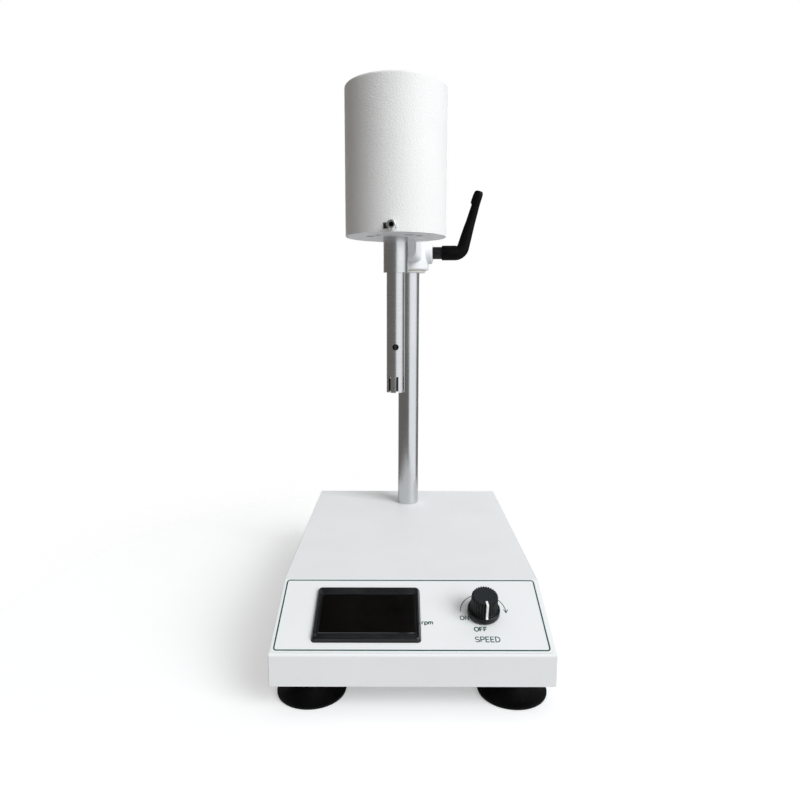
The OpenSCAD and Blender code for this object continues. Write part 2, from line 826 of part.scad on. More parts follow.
module guide_bushes() color(brass) translate([0, column_y, 0]) {
    bore = column_d + 2 * run_gap;
    translate([0, 0, sleeve_top - bush_l]) ring(bush_d, bore, bush_l + run_gap + bush_flange_t);
    translate([0, 0, sleeve_top + run_gap]) ring(bush_flange_d, bore, bush_flange_t);
    translate([0, 0, sleeve_low - run_gap - bush_flange_t]) ring(bush_d, bore, bush_l + run_gap + bush_flange_t);
    translate([0, 0, sleeve_low - run_gap - bush_flange_t]) ring(bush_flange_d, bore, bush_flange_t);
}

vent_turns = [-65, -35, 35, 65];
gusset_y = 18;
lock_slot_z = lock_up - lock_slot_drop - lock_slot_h / 2;

// Sections of the casting: across the arm, and through one half of the sleeve and of the lever boss
arm_section = concat(
    [[arm_w / 2, plate_t], [-arm_w / 2, plate_t]],
    arc([arm_edge_r - arm_w / 2, arm_edge_r - arm_drop], arm_edge_r, 180, 270),
    arc([arm_w / 2 - arm_edge_r, arm_edge_r - arm_drop], arm_edge_r, 270, 360));
sleeve_section = concat(
    [[0, 0]],
    arc([sleeve_d / 2 - sleeve_edge_r, sleeve_edge_r], sleeve_edge_r, -90, 0),
    arc([sleeve_d / 2 - sleeve_edge_r, sleeve_h - sleeve_edge_r], sleeve_edge_r, 0, 90),
    [[0, sleeve_h]]);
boss_section = concat(
    [[0, 0], [boss_d / 2, 0]],
    arc([boss_d / 2 - boss_edge_r, boss_reach - boss_edge_r], boss_edge_r, 0, 90),
    [[0, boss_reach]]);

module support_arm() color(white) on_head() difference() {
    union() {
        cylinder(r = plate_r, h = plate_t);
        cylinder(d = bearing_d + 12, h = boss_top);
        at_motor_bolts() cylinder(d = pillar_d, h = stator_z);
        // Arm with round lower edges and a gusset that runs up under the motor
        intersection() {
            rotate([90, 0, 90]) linear_extrude(arm_w, center = true) polygon([
                [gusset_y, plate_t], [gusset_y, 0], [plate_r, -arm_drop], [reach, -arm_drop], [reach, plate_t]]);
            rotate([90, 0, 0]) translate([0, 0, -reach - past]) linear_extrude(reach + past) polygon(arm_section);
        }
        // Clamp sleeve and lever boss
        translate([0, reach, -clamp_drop - sleeve_h / 2]) rotate_extrude() polygon(sleeve_section);
        translate([0, reach, -clamp_drop]) rotate([0, 90, 0]) rotate_extrude() polygon(boss_section);
    }
    // Bores of the sleeve, the clamp stud, the tool and the lower bearing
    translate([0, reach, -clamp_drop - sleeve_h / 2 - past])
        cylinder(d = bush_d + 2 * run_gap, h = sleeve_h + 2 * past);
    translate([0, reach, -clamp_drop]) rotate([0, 90, 0]) cylinder(d = stud_d, h = boss_reach + past);
    translate([0, 0, -past]) cylinder(d = collar_d + 2 * run_gap, h = plate_t + past);
    cylinder(d = coupling_d + 2, h = boss_top);
    translate([0, 0, plate_t + bearing_shoulder]) cylinder(d = bearing_d, h = boss_top);
    // Tapped holes of the pillars, the locking screw and the housing screws
    at_motor_bolts() translate([0, 0, stator_z - bolt_in]) cylinder(d = bolt_d, h = bolt_in + past);
    radial(lock_turn, lock_up) cylinder(d = lock_d, h = plate_r + past);
    translate([-lock_slot_l / 2, -plate_r - past, lock_slot_z]) cube([lock_slot_l, lock_pocket + past, lock_slot_h]);
    for (turn = housing_screw_turns) radial(turn, housing_screw_up)
        translate([0, 0, plate_r - housing_screw_l]) cylinder(d = housing_screw_d, h = housing_screw_l + past);
    // Air slots in the plate
    for (turn = vent_turns) rotate([0, 0, turn - 90 - 10]) rotate_extrude(angle = 20)
        translate([bearing_d / 2 + 9, -past]) square([6, plate_t + 2 * past]);
}

module clamp_pad() color(brass) on_lever() translate([0, 0, column_r + run_gap])
    cylinder(d = stud_d - 2 * run_gap, h = pad_t);

// Stud with its collar and the splined end that the lever grips
module lever_stud() color(dark_steel) on_lever() difference() {
    union() {
        translate([0, 0, stud_z]) cylinder(d = stud_d - 2 * run_gap, h = spline_z - stud_z);
        translate([0, 0, collar_z]) cylinder(d = hub_d - 2.6, h = stud_collar_l);
        translate([0, 0, spline_z]) cylinder(d = spring_bore, h = spline_l);
    }
    translate([0, 0, spline_z - 6]) cylinder(d = lever_screw_d, h = spline_l + 6 + past);
}

lever_screw_d = 4;
module lever_screw() color(steel) on_lever() difference() {
    union() {
        translate([0, 0, spline_z - 6]) cylinder(d = lever_screw_d - 2 * run_gap, h = screw_head_z - spline_z + 6);
        translate([0, 0, screw_head_z]) cylinder(d = spring_bore - 1.2, h = screw_head_t);
    }
    translate([0, 0, screw_head_z + screw_head_t / 2]) cylinder(d = 3.4, h = screw_head_t, $fn = 6);
}

// Coil spring between the lever's inner shoulder and the head of the screw
spring_wire = 0.8;
spring_turns = 4;
module lever_spring() color(steel) {
    rings = 10 * spring_turns;
    sides = 6;
    coil_r = (spring_bore - 1.2 - spring_wire) / 2;
    rise = spring_l - spring_wire - 2 * seat_gap;
    points = [for (i = [0:rings], k = [0:sides - 1]) let (
        a = 360 * spring_turns * i / rings,
        b = 360 * k / sides,
        r = coil_r + spring_wire / 2 * cos(b)
    ) [r * cos(a), r * sin(a), seat_gap + spring_wire / 2 + rise * i / rings + spring_wire / 2 * sin(b)]];
    walls = [for (i = [0:rings - 1], k = [0:sides - 1]) let (
        p = i * sides + k,
        q = i * sides + (k + 1) % sides
    ) each [[p, p + sides, q], [q, p + sides, q + sides]]];
    caps = [for (k = [1:sides - 2]) each [[0, k, k + 1],
        [rings * sides, rings * sides + k + 1, rings * sides + k]]];
    on_lever() translate([0, 0, spring_z]) polyhedron(points, concat(walls, caps));
}

// Hub on the stud's axis and a grip that leans outwards and ends in a thicker round tip
module lever_handle() color(black) on_lever() difference() {
    lean = tan(lever_lean);
    low_d = grip_d + 2.4;
    neck_d = grip_d - 0.9;
    tip_d = grip_d + 0.4;
    tip_up = lever_l - tip_d / 2;
    neck_up = lever_l - 14;
    union() {
        translate([0, 0, hub_z]) cylinder(d = hub_d, h = elbow_z - hub_z);
        hull() {
            translate([0, 0, elbow_z]) sphere(d = hub_d, $fn = 32);
            translate([-hub_d, 0, elbow_z + hub_d * lean]) sphere(d = low_d, $fn = 32);
        }
        hull() {
            translate([-hub_d, 0, elbow_z + hub_d * lean]) sphere(d = low_d, $fn = 32);
            translate([-neck_up, 0, elbow_z + neck_up * lean]) sphere(d = neck_d, $fn = 32);
        }
        hull() {
            translate([-neck_up - 2, 0, elbow_z + (neck_up + 2) * lean]) sphere(d = tip_d, $fn = 32);
            translate([-tip_up, 0, elbow_z + tip_up * lean]) sphere(d = tip_d, $fn = 32);
        }
    }
    translate([0, 0, hub_z - past]) cylinder(d = spring_bore + 2 * run_gap, h = past + spline_l + 2);
    cylinder(d = lever_screw_d + 2 * seat_gap, h = spring_z + past);
    translate([0, 0, spring_z]) cylinder(d = spring_bore, h = hub_d + spring_l + screw_head_t);
}

// Motor cover

module motor_housing() color(white) on_head() difference() {
    edge_in = can_edge_r - can_wall;
    rotate_extrude() polygon(concat(
        [[can_r, 0]],
        arc([can_r - can_edge_r, can_h - can_edge_r], can_edge_r, 0, 90),
        [[0, can_h], [0, can_h - can_wall]],
        arc([can_r - can_edge_r, can_h - can_edge_r], edge_in, 90, 0),
        [[can_r - can_wall, 0]]));
    // Slot round the locking screw
    translate([-lock_slot_l / 2, -can_r - past, lock_slot_z]) cube([lock_slot_l, can_r, lock_slot_h]);
    // Notch for the arm, hole for the lead socket and air slots at the back
    translate([-arm_w / 2 - seat_gap, 0, -past])
        cube([arm_w + 2 * seat_gap, can_r + past, plate_t + seat_gap + past]);
    radial(180, head_socket_up) cylinder(d = lead_d + 2 * seat_gap, h = can_r + past);
    for (i = [0:4]) translate([-15, 0, can_h - 34 + 5 * i]) cube([30, can_r + past, 2.5]);
    for (turn = housing_screw_turns) radial(turn, housing_screw_up)
        cylinder(d = housing_screw_d + 2 * seat_gap, h = can_r + past);
}

module housing_screws() color(steel) on_head() for (turn = housing_screw_turns)
    radial(turn, housing_screw_up) {
        translate([0, 0, plate_r - housing_screw_l])
            cylinder(d = housing_screw_d - 2 * run_gap, h = can_r - plate_r + housing_screw_l + past);
        translate([0, 0, can_r]) cylinder(d = 1.8 * housing_screw_d, h = 2.2);
    }

module tool_lock_screw() color(steel) on_head() radial(lock_turn, lock_up) difference() {
    union() {
        translate([0, 0, collar_d / 2 + run_gap])
            cylinder(d = lock_d - 2 * run_gap, h = can_r - collar_d / 2 + past);
        translate([0, 0, can_r + run_gap]) cylinder(d = lock_head_d, h = lock_head_t);
    }
    translate([0, 0, can_r + lock_head_t / 2]) cylinder(d = lock_d, h = lock_head_t, $fn = 6);
}

module head_socket() color(dark_steel) on_head() radial(180, head_socket_up)
    translate([0, 0, can_r + rear_flange_t]) mirror([0, 0, 1])
        round_socket(can_wall + 2, 9.2, lead_d + 3, 2.5);

// Motor

window_angle = 64;
coil_over = 4;
coil_in = 1.5;
coil_t = (stator_d - stator_bore) / 2 - 8;
module stator_window(h, g) {
    for (s = [0, 180]) rotate([0, 0, s + 90 - window_angle / 2 + g]) rotate_extrude(angle = window_angle - 2 * g)
        translate([stator_bore / 2 + coil_in, 0]) square([coil_t, h]);
}

module motor_stator() color(dark_steel) on_head() translate([0, 0, stator_z]) difference() {
    ring(stator_d, stator_bore, stator_h);
    translate([0, 0, -past]) stator_window(stator_h + 2 * past, 0);
    at_motor_bolts() translate([0, 0, -past]) cylinder(d = bolt_d, h = stator_h + 2 * past);
}

module field_coils() color(copper) on_head() translate([0, 0, stator_z - coil_over / 2])
    stator_window(stator_h + coil_over, 0.3);

module upper_bracket() color(dark_steel) on_head() translate([0, 0, bracket_z]) difference() {
    union() {
        for (a = [45, 135]) rotate([0, 0, a]) translate([-bolt_ring_r, -7, 0]) cube([2 * bolt_ring_r, 14, bracket_t]);
        at_motor_bolts() translate([0, 0, stator_top - bracket_z])
            cylinder(d = pillar_d, h = bracket_z - stator_top + bracket_t);
        cylinder(d = bearing_d + 8, h = bracket_boss);
    }
    translate([0, 0, -past]) cylinder(d = motor_shaft_d + 3, h = bracket_boss);
    translate([0, 0, bearing_shoulder]) cylinder(d = bearing_d, h = bracket_boss);
    at_motor_bolts() translate([0, 0, stator_top - bracket_z - past])
        cylinder(d = bolt_d, h = bracket_z - stator_top + bracket_t + 2 * past);
}

module motor_bearings() color(steel) on_head()
    for (z = [plate_t + bearing_shoulder, bracket_z + bearing_shoulder])
        translate([0, 0, z]) ring(bearing_d, motor_shaft_d + 2 * run_gap, bearing_t);

bolt_in = 10;
module motor_bolts() color(steel) on_head() at_motor_bolts() {
    translate([0, 0, stator_z - bolt_in])
        cylinder(d = bolt_d - 2 * run_gap, h = bolt_in + bracket_z + bracket_t - stator_z);
    translate([0, 0, bracket_z + bracket_t]) cylinder(d = 1.8 * bolt_d, h = 3);
}

brush = [5, 8];
brush_gap = 0.3;
brush_l = 12;
holder_wall = 2;
brush_z = commutator_z + commutator_h / 2;
module brush_holders() color("#6b4a2a") on_head() for (turn = [0, 180]) radial(turn, brush_z) difference() {
    translate([-brush[0] / 2 - holder_wall, -brush[1] / 2 - holder_wall, commutator_d / 2 + 3])
        cube([brush[0] + 2 * holder_wall, bracket_z - brush_z + brush[1] / 2 + holder_wall, brush_l + 3]);
    translate([0, 0, commutator_d / 2]) linear_extrude(brush_l + 3)
        square([brush[0] + 2 * run_gap, brush[1] + 2 * run_gap], center = true);
}

module carbon_brushes() color("#2b2b2d") on_head() for (turn = [0, 180]) radial(turn, brush_z)
    translate([0, 0, commutator_d / 2 + brush_gap]) linear_extrude(brush_l)
        square(brush, center = true);

// Spindle: armature, fan, coupling and the tool's shaft

air_gap = 0.5;
module motor_shaft() color(steel) on_head() translate([0, 0, run_gap])
    cylinder(d = motor_shaft_d, h = shaft_top);

armature_slots = 12;
module armature() color("#8a6a4a") on_head() difference() {
    union() {
        translate([0, 0, stator_z + 2]) cylinder(d = stator_bore - 2 * air_gap, h = stator_h - 4);
        translate([0, 0, stator_z]) cylinder(d = stator_bore - 10, h = commutator_z - stator_z);
    }
    translate([0, 0, stator_z - past]) cylinder(d = motor_shaft_d, h = stator_h + 4 + 2 * past);
    for (i = [0:armature_slots - 1]) rotate([0, 0, 360 * i / armature_slots])
        translate([stator_bore / 2 - 4, -0.8, stator_z]) cube([6, 1.6, stator_h]);
}

module commutator() color(copper) on_head() translate([0, 0, commutator_z])
    ring(commutator_d, motor_shaft_d, commutator_h);

module cooling_fan() color("#2e3a4a") on_head() translate([0, 0, fan_z]) difference() {
    union() {
        cylinder(d = fan_d, h = 1.5);
        cylinder(d = motor_shaft_d + 8, h = fan_t);
        for (i = [0:fan_n - 1]) rotate([0, 0, 360 * i / fan_n])
            translate([motor_shaft_d / 2 + 2, -0.8, 0]) cube([fan_d / 2 - motor_shaft_d / 2 - 3, 1.6, fan_t]);
    }
    translate([0, 0, -past]) cylinder(d = motor_shaft_d, h = fan_t + 2 * past);
}

module drive_coupling() color(dark_steel) on_head() difference() {
    translate([0, 0, -coupling_l / 2]) cylinder(d = coupling_d, h = coupling_l);
    cylinder(d = motor_shaft_d, h = coupling_l);
    translate([0, 0, -coupling_l]) cylinder(d = tool_shaft_d, h = coupling_l + past / 2);
}

// Dispersing tool

module tool_collar() color(steel) on_head() difference() {
    translate([0, 0, -collar_l]) cylinder(d = collar_d, h = collar_l + plate_t - past);
    translate([0, 0, -collar_l - past]) cylinder(d = tube_d, h = tube_in + past);
    translate([0, 0, -collar_l]) cylinder(d = tube_d - 4, h = tube_in + tool_bush_l + past);
    translate([0, 0, chamber_z]) cylinder(r = chamber_r, h = collar_l + plate_t);
}

module tool_bushes() color("#e8e4d8") on_head() {
    bore = tool_shaft_d + 2 * run_gap;
    translate([0, 0, tube_in - collar_l]) ring(tube_d - 4, bore, tool_bush_l);
    translate([0, 0, rotor_z + rotor_h + 4]) ring(2 * tube_bore_r, bore, 2 * tool_bush_l);
}

module stator_tube() color(steel) on_head() difference() {
    translate([0, 0, -tool_l]) ring(tube_d, 2 * tube_bore_r, tool_l - collar_l + tube_in);
    for (i = [0:slot_n - 1]) rotate([0, 0, slot_turn + 360 * i / slot_n])
        translate([-slot_w / 2, -tube_d, -tool_l - past]) cube([slot_w, tube_d, slot_h + past]);
    radial(head_swing, vent_up - tool_l) cylinder(d = vent_d, h = tube_d);
}

module tool_shaft() color(steel) on_head() difference() {
    translate([0, 0, rotor_z + rotor_h]) cylinder(d = tool_shaft_d, h = -rotor_z - rotor_h - run_gap);
    translate([0, 0, rotor_z + rotor_h - past]) cylinder(d = rotor_stud_d, h = rotor_stud_l + past);
}

// Rotor with a solid hub, straight blades and the stud that screws into the shaft
module rotor_head() color(steel) on_head() translate([0, 0, rotor_z]) {
    hub = 6;
    blade_t = 2.2;
    cylinder(d = hub, h = rotor_h);
    cylinder(d = rotor_stud_d - 2 * run_gap, h = rotor_h + rotor_stud_l - run_gap);
    translate([0, 0, rotor_h - 3]) cylinder(d = tool_shaft_d, h = 3);
    intersection() {
        cylinder(r = rotor_r, h = rotor_h);
        for (i = [0:rotor_n - 1]) rotate([0, 0, 360 * i / rotor_n])
            translate([0, -blade_t / 2, 0]) cube([2 * rotor_r, blade_t, rotor_h - 3]);
    }
}

base_cover();
base_pan();
cover_screws();
suction_feet();
foot_studs();
foot_nuts();
column();
column_seat();
column_bolt();
display_bezel();
display_window();
display_board();
digit_blocks();
speed_knob();
knob_pointer();
pot_shaft();
pot_body();
pot_nut();
control_board();
board_standoffs();
board_parts();
heat_sink();
mains_inlet();
inlet_pins();
fuse_holder();
fuse_cap();
lead_socket();
guide_bushes();
support_arm();
clamp_pad();
lever_stud();
lever_screw();
lever_spring();
lever_handle();
motor_housing();
housing_screws();
tool_lock_screw();
head_socket();
motor_stator();
field_coils();
upper_bracket();
motor_bearings();
motor_bolts();
brush_holders();
carbon_brushes();
motor_shaft();
armature();
commutator();
cooling_fan();
drive_coupling();
tool_collar();
tool_bushes();
stator_tube();
tool_shaft();
rotor_head();
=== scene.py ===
"""Bench homogenizer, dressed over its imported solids.

Lengths in this script are millimetres in the part's own frame until a mesh is made from them:
X to the right, Y to the back, Z up, and Z = 0 on the bench under the feet.
"""

import json
import math

import bpy
import numpy as np
from mathutils import Matrix


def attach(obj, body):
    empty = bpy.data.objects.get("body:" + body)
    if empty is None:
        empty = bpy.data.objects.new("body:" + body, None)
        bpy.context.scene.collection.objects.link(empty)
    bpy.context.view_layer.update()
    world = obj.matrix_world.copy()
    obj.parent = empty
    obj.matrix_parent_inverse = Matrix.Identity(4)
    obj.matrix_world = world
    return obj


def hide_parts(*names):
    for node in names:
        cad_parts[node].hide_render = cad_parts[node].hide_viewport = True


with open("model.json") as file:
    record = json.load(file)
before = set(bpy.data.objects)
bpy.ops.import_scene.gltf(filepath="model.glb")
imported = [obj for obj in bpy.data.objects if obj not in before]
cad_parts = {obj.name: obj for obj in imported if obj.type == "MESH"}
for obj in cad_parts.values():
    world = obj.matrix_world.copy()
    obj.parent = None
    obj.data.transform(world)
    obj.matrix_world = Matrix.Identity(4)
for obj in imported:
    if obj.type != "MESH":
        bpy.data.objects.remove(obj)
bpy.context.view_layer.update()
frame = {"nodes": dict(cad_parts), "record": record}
slot_of = {p["node"]: p["material_slot"] for p in frame["record"]["subparts"]}

MM = 0.001

# Sizes of the solids that the new pieces follow
BASE_W, BASE_D = 200.0, 310.0
FOOT_H, FRONT_H = 20.0, 23.5
PANEL_RUN, PANEL_RISE = 67.5, 25.0
SHEET = 1.5
FRONT_Y = -156.5
REAR_Y = FRONT_Y + BASE_D
PANEL_Z = FOOT_H + FRONT_H
TOP_Z = PANEL_Z + PANEL_RISE
TILT = math.atan2(PANEL_RISE, PANEL_RUN)
PANEL_L = math.hypot(PANEL_RUN, PANEL_RISE)
COLUMN_Y = REAR_Y - 40.0
PLATE_Z = TOP_Z + 271.5
CLAMP_Z = PLATE_Z - 4.0
REACH = 117.0
SWING = math.radians(6.5)
CAN_R, CAN_H, CAN_WALL, CAN_EDGE = 43.0, 121.0, 1.5, 2.0
SLOT_HALF, SLOT_LOW, SLOT_HIGH = 5.5, 2.3, 7.1
LOCK_UP, LOCK_TURN = 5.0, math.radians(2.5)
DISPLAY = (-33.0, PANEL_L / 2)
WINDOW = (-33.0, PANEL_L / 2 - 1.0)
KNOB = (52.8, PANEL_L / 2 + 1.5)
POINTER_TURN = math.radians(6.0)
FILM_UP = 0.2


# Frames

def on_panel(p):
    """World place of points given as (sideways, up the sloped panel, out of it)."""
    p = np.asarray(p, float)
    c, s = math.cos(TILT), math.sin(TILT)
    x, up, out = p[..., 0], p[..., 1], p[..., 2]
    return np.stack([x, FRONT_Y + up * c - out * s, PANEL_Z + up * s + out * c], -1)


def on_head(p):
    """World place of points given from the tool's axis: right, towards the column, above the plate."""
    p = np.asarray(p, float)
    c, s = math.cos(SWING), math.sin(SWING)
    x, y = p[..., 0], p[..., 1] - REACH
    return np.stack([x * c + y * s, COLUMN_Y - x * s + y * c, PLATE_Z + p[..., 2]], -1)


def on_lever(p):
    """World place of points given from the column along the clamp's axis: outwards, backwards, up."""
    p = np.asarray(p, float)
    c, s = math.cos(SWING), math.sin(SWING)
    x, y = p[..., 0], p[..., 1]
    return np.stack([x * c + y * s, COLUMN_Y - x * s + y * c, CLAMP_Z + p[..., 2]], -1)


# Shaders

class Sock:
    """A shader socket with arithmetic: each operator adds one Math node to the socket's tree."""

    def __init__(self, tree, out):
        self.tree = tree
        self.out = out

    def node(self, kind, settings, values, output=0):
        """One more node: its type, its settings, the values or links of its inputs, the output wanted."""
        n = self.tree.nodes.new(kind)
        for key, value in settings.items():
            setattr(n, key, value)
        for key, value in values.items():
            if isinstance(value, Sock):
                self.tree.links.new(value.out, n.inputs[key])
            else:
                n.inputs[key].default_value = value
        return Sock(self.tree, n.outputs[output])

    def math(self, op, a, b=0.0):
        """A Math node on two values."""
        return self.node("ShaderNodeMath", {"operation": op}, {0: a, 1: b})

    def __add__(self, other):
        return self.math("ADD", self, other)

    def __radd__(self, other):
        return self.math("ADD", other, self)

    def __sub__(self, other):
        return self.math("SUBTRACT", self, other)

    def __rsub__(self, other):
        return self.math("SUBTRACT", other, self)

    def __mul__(self, other):
        return self.math("MULTIPLY", self, other)

    def __rmul__(self, other):
        return self.math("MULTIPLY", other, self)

    def noise(self, scale, detail=2.0, rough=0.5):
        """Noise from 0 to 1 over these coordinates."""
        values = {"Vector": self, "Scale": scale, "Detail": detail, "Roughness": rough}
        return self.node("ShaderNodeTexNoise", {}, values)

    def stretch(self, x, y, z):
        """These coordinates, scaled along each axis."""
        return self.node("ShaderNodeMapping", {}, {"Vector": self, "Scale": (x, y, z)})

    def step(self, low, high):
        """0 below low, 1 above high, and smooth between."""
        return self.node("ShaderNodeMapRange", {"interpolation_type": "SMOOTHSTEP"},
                         {"Value": self, "From Min": low, "From Max": high})

    def tint(self, a, b):
        """Colour from a, at 0, to b, at 1."""
        ramp = self.node("ShaderNodeMix", {"data_type": "RGBA"}, {"Factor": self})
        mix = ramp.out.node
        mix.inputs[6].default_value = (*a, 1.0)
        mix.inputs[7].default_value = (*b, 1.0)
        return Sock(self.tree, mix.outputs[2])


def shader(name, constants):
    """A Principled material with these constants: gives the material, its shader and object coordinates."""
    mat = bpy.data.materials.new(name)
    mat.use_nodes = True
    tree = mat.node_tree
    bsdf = tree.nodes["Principled BSDF"]
    for key, value in constants.items():
        bsdf.inputs[key].default_value = value
    coords = tree.nodes.new("ShaderNodeTexCoord")
    return mat, bsdf, Sock(tree, coords.outputs["Object"])


def feed(bsdf, key, sock):
    """Links a varying value to one input of the shader."""
    sock.tree.links.new(sock.out, bsdf.inputs[key])


def bump(bsdf, height, strength, depth):
    """Relief on the shader's normal: depth in metres for a height of 1."""
    values = {"Height": height, "Strength": strength, "Distance": depth}
    feed(bsdf, "Normal", height.node("ShaderNodeBump", {}, values))


def coat_white(name, light, dark, peel, size, depth, gloss):
    """Powder coat: a white with faint clouds and specks, over the fine orange peel of baked paint.

    Peel is the relief's strength, size its cells in a metre, depth its height in metres,
    and gloss the specular level.
    """
    mat, bsdf, at = shader(name, {"Specular IOR Level": gloss})
    cloud = at.noise(14.0, 3.0)
    speck = at.noise(1300.0, 1.0).step(0.70, 0.78)
    shade = cloud.step(0.3, 0.75) * 0.6 + speck * 0.4
    feed(bsdf, "Base Color", shade.tint(light, dark))
    grain = at.noise(size, 2.0)
    fine = at.noise(3.0 * size, 2.0)
    feed(bsdf, "Roughness", grain * 0.16 + 0.40)
    bump(bsdf, grain * 0.7 + fine * 0.3, peel, depth)
    return mat


def steel(name, colour, rough, along, lines):
    """Bright steel: fine polish lines run along the axes where along is small, and vary the gloss."""
    mat, bsdf, at = shader(name, {"Metallic": 1.0, "Anisotropic": 0.45})
    polish = at.stretch(*along).noise(1.0, 4.0, 0.65)
    smear = at.noise(22.0, 3.0)
    dark = tuple(v * 0.86 for v in colour)
    feed(bsdf, "Base Color", (polish * 0.6 + smear * 0.4).step(0.25, 0.75).tint(dark, colour))
    feed(bsdf, "Roughness", polish * 0.12 + smear * 0.10 + rough)
    bump(bsdf, polish, lines, 0.00006)
    return mat


def plastic(name, colour, rough, grain, relief, gloss=0.5):
    """Moulded plastic: a spark-eroded grain in the normal, with faint smears in gloss and colour.

    Rough is the mean roughness, grain the pits' cells in a metre, relief their strength,
    and gloss the specular level.
    """
    mat, bsdf, at = shader(name, {"Specular IOR Level": gloss})
    smear = at.noise(60.0, 3.0)
    pits = at.noise(grain, 2.0)
    pale = tuple(v + 0.35 * v * (1.0 - v) + 0.004 for v in colour)
    feed(bsdf, "Base Color", (smear * 0.6 + pits * 0.4).step(0.35, 0.8).tint(colour, pale))
    feed(bsdf, "Roughness", smear * 0.14 + rough - 0.07)
    bump(bsdf, pits, relief, 0.0002)
    return mat


def metal(name, colour, rough, grain):
    """Machined metal for small and inner parts, with a mottled gloss."""
    mat, bsdf, at = shader(name, {"Metallic": 1.0})
    mottle = at.noise(grain, 3.0)
    dark = tuple(v * 0.8 for v in colour)
    feed(bsdf, "Base Color", mottle.step(0.3, 0.7).tint(dark, colour))
    feed(bsdf, "Roughness", mottle * 0.2 + rough)
    bump(bsdf, mottle, 0.15, 0.00008)
    return mat


def window_film(name):
    """Dark red display filter under a clear gloss, with faint wiping smears."""
    mat, bsdf, at = shader(name, {"Specular IOR Level": 0.08})
    smear = at.stretch(30.0, 90.0, 90.0).noise(1.0, 3.0)
    feed(bsdf, "Base Color", smear.step(0.3, 0.8).tint((0.0016, 0.0012, 0.0010), (0.003, 0.0022, 0.0019)))
    feed(bsdf, "Roughness", smear * 0.10 + 0.08)
    bump(bsdf, at.noise(25.0, 1.0), 0.05, 0.0002)
    return mat


def ink(name, colour):
    """Screen-printed ink: a thin flat colour with slightly uneven cover."""
    mat, bsdf, at = shader(name, {"Specular IOR Level": 0.4})
    cover = at.noise(900.0, 2.0)
    pale = tuple(v * 1.5 + 0.02 for v in colour)
    feed(bsdf, "Base Color", cover.step(0.55, 0.8).tint(colour, pale))
    feed(bsdf, "Roughness", cover * 0.1 + 0.4)
    bump(bsdf, cover, 0.1, 0.00005)
    return mat


def laminate(name, colour):
    """Circuit board: solder mask with lighter copper tracks under it."""
    mat, bsdf, at = shader(name, {"Specular IOR Level": 0.5})
    weave = at.stretch(260.0, 60.0, 60.0).noise(1.0, 1.0).step(0.52, 0.56)
    pale = tuple(v * 1.6 for v in colour)
    feed(bsdf, "Base Color", weave.tint(colour, pale))
    feed(bsdf, "Roughness", weave * 0.1 + 0.35)
    bump(bsdf, weave, 0.2, 0.00005)
    return mat


WHITE = coat_white("white_coat", (0.875, 0.888, 0.895), (0.827, 0.840, 0.847),
                   peel=0.16, size=520.0, depth=0.00045, gloss=0.12)
CAN_WHITE = coat_white("white_coat_coarse", (0.91, 0.912, 0.908), (0.86, 0.862, 0.858),
                       peel=1.0, size=850.0, depth=0.0005, gloss=0.25)
RUBBER = plastic("foot_rubber", (0.0018, 0.0018, 0.002), 0.55, 700.0, 0.35, 0.08)
COLUMN = steel("column_steel", (0.66, 0.67, 0.69), 0.10, (700.0, 700.0, 9.0), 0.25)
TOOL = steel("tool_steel", (0.64, 0.65, 0.66), 0.14, (60.0, 60.0, 2200.0), 0.2)
SCREW = metal("screw_steel", (0.66, 0.66, 0.67), 0.16, 300.0)
PLAIN = metal("plain_steel", (0.36, 0.37, 0.39), 0.28, 260.0)
BEZEL = plastic("bezel_plastic", (0.0035, 0.0045, 0.005), 0.13, 900.0, 0.10, 0.45)
WINDOW_RED = window_film("window_plastic")
KNOB_BLACK = plastic("knob_plastic", (0.002, 0.0032, 0.0038), 0.34, 1100.0, 0.25, 0.26)
# The knob's top: a matt, grained copy of its black made lighter; the lighter colour is painted light on the
# face that looks up to the lamps
KNOB_TOP_LIT = plastic("knob_top_painted_light", (0.022, 0.0255, 0.028), 0.55, 1100.0, 0.5, 0.06)
POINTER = plastic("pointer_white", (0.86, 0.86, 0.85), 0.45, 900.0, 0.1)
LEVER = plastic("lever_plastic", (0.002, 0.002, 0.0021), 0.46, 800.0, 0.35, 0.06)
BLACK = plastic("black_plastic", (0.012, 0.012, 0.013), 0.45, 800.0, 0.25, 0.35)
OXIDE = metal("black_oxide", (0.035, 0.035, 0.037), 0.34, 320.0)
BOARD = laminate("board_laminate", (0.03, 0.16, 0.08))
BRASS = metal("brass", (0.70, 0.55, 0.28), 0.24, 240.0)
SINK = metal("sink_aluminium", (0.70, 0.71, 0.72), 0.32, 420.0)
COPPER = metal("copper", (0.55, 0.28, 0.14), 0.30, 500.0)
BUSH = plastic("bush_plastic", (0.74, 0.72, 0.66), 0.40, 500.0, 0.15)
SHEET_WHITE = coat_white("panel_film", (0.850, 0.864, 0.873), (0.824, 0.838, 0.847),
                         peel=0.05, size=700.0, depth=0.0002, gloss=0.2)
# Darker grey for the film's rim: painted shade for the thin dark line along its edge
FILM_EDGE_SHADE = plastic("film_edge_painted_shade", (0.36, 0.40, 0.40), 0.5, 500.0, 0.1, 0.2)
INK = ink("legend_ink", (0.003, 0.07, 0.047))
# Near-black steel: painted shade for the pieces inside the tool
INSIDE_SHADE = metal("inner_steel_painted_shade", (0.085, 0.085, 0.088), 0.40, 300.0)
LOCK = metal("lock_screw_steel", (0.86, 0.86, 0.86), 0.07, 300.0)
LINING = plastic("slot_lining", (0.80, 0.80, 0.79), 0.5, 500.0, 0.2, 0.2)
SHADE = plastic("slot_shade", (0.004, 0.004, 0.004), 0.6, 500.0, 0.2, 0.1)

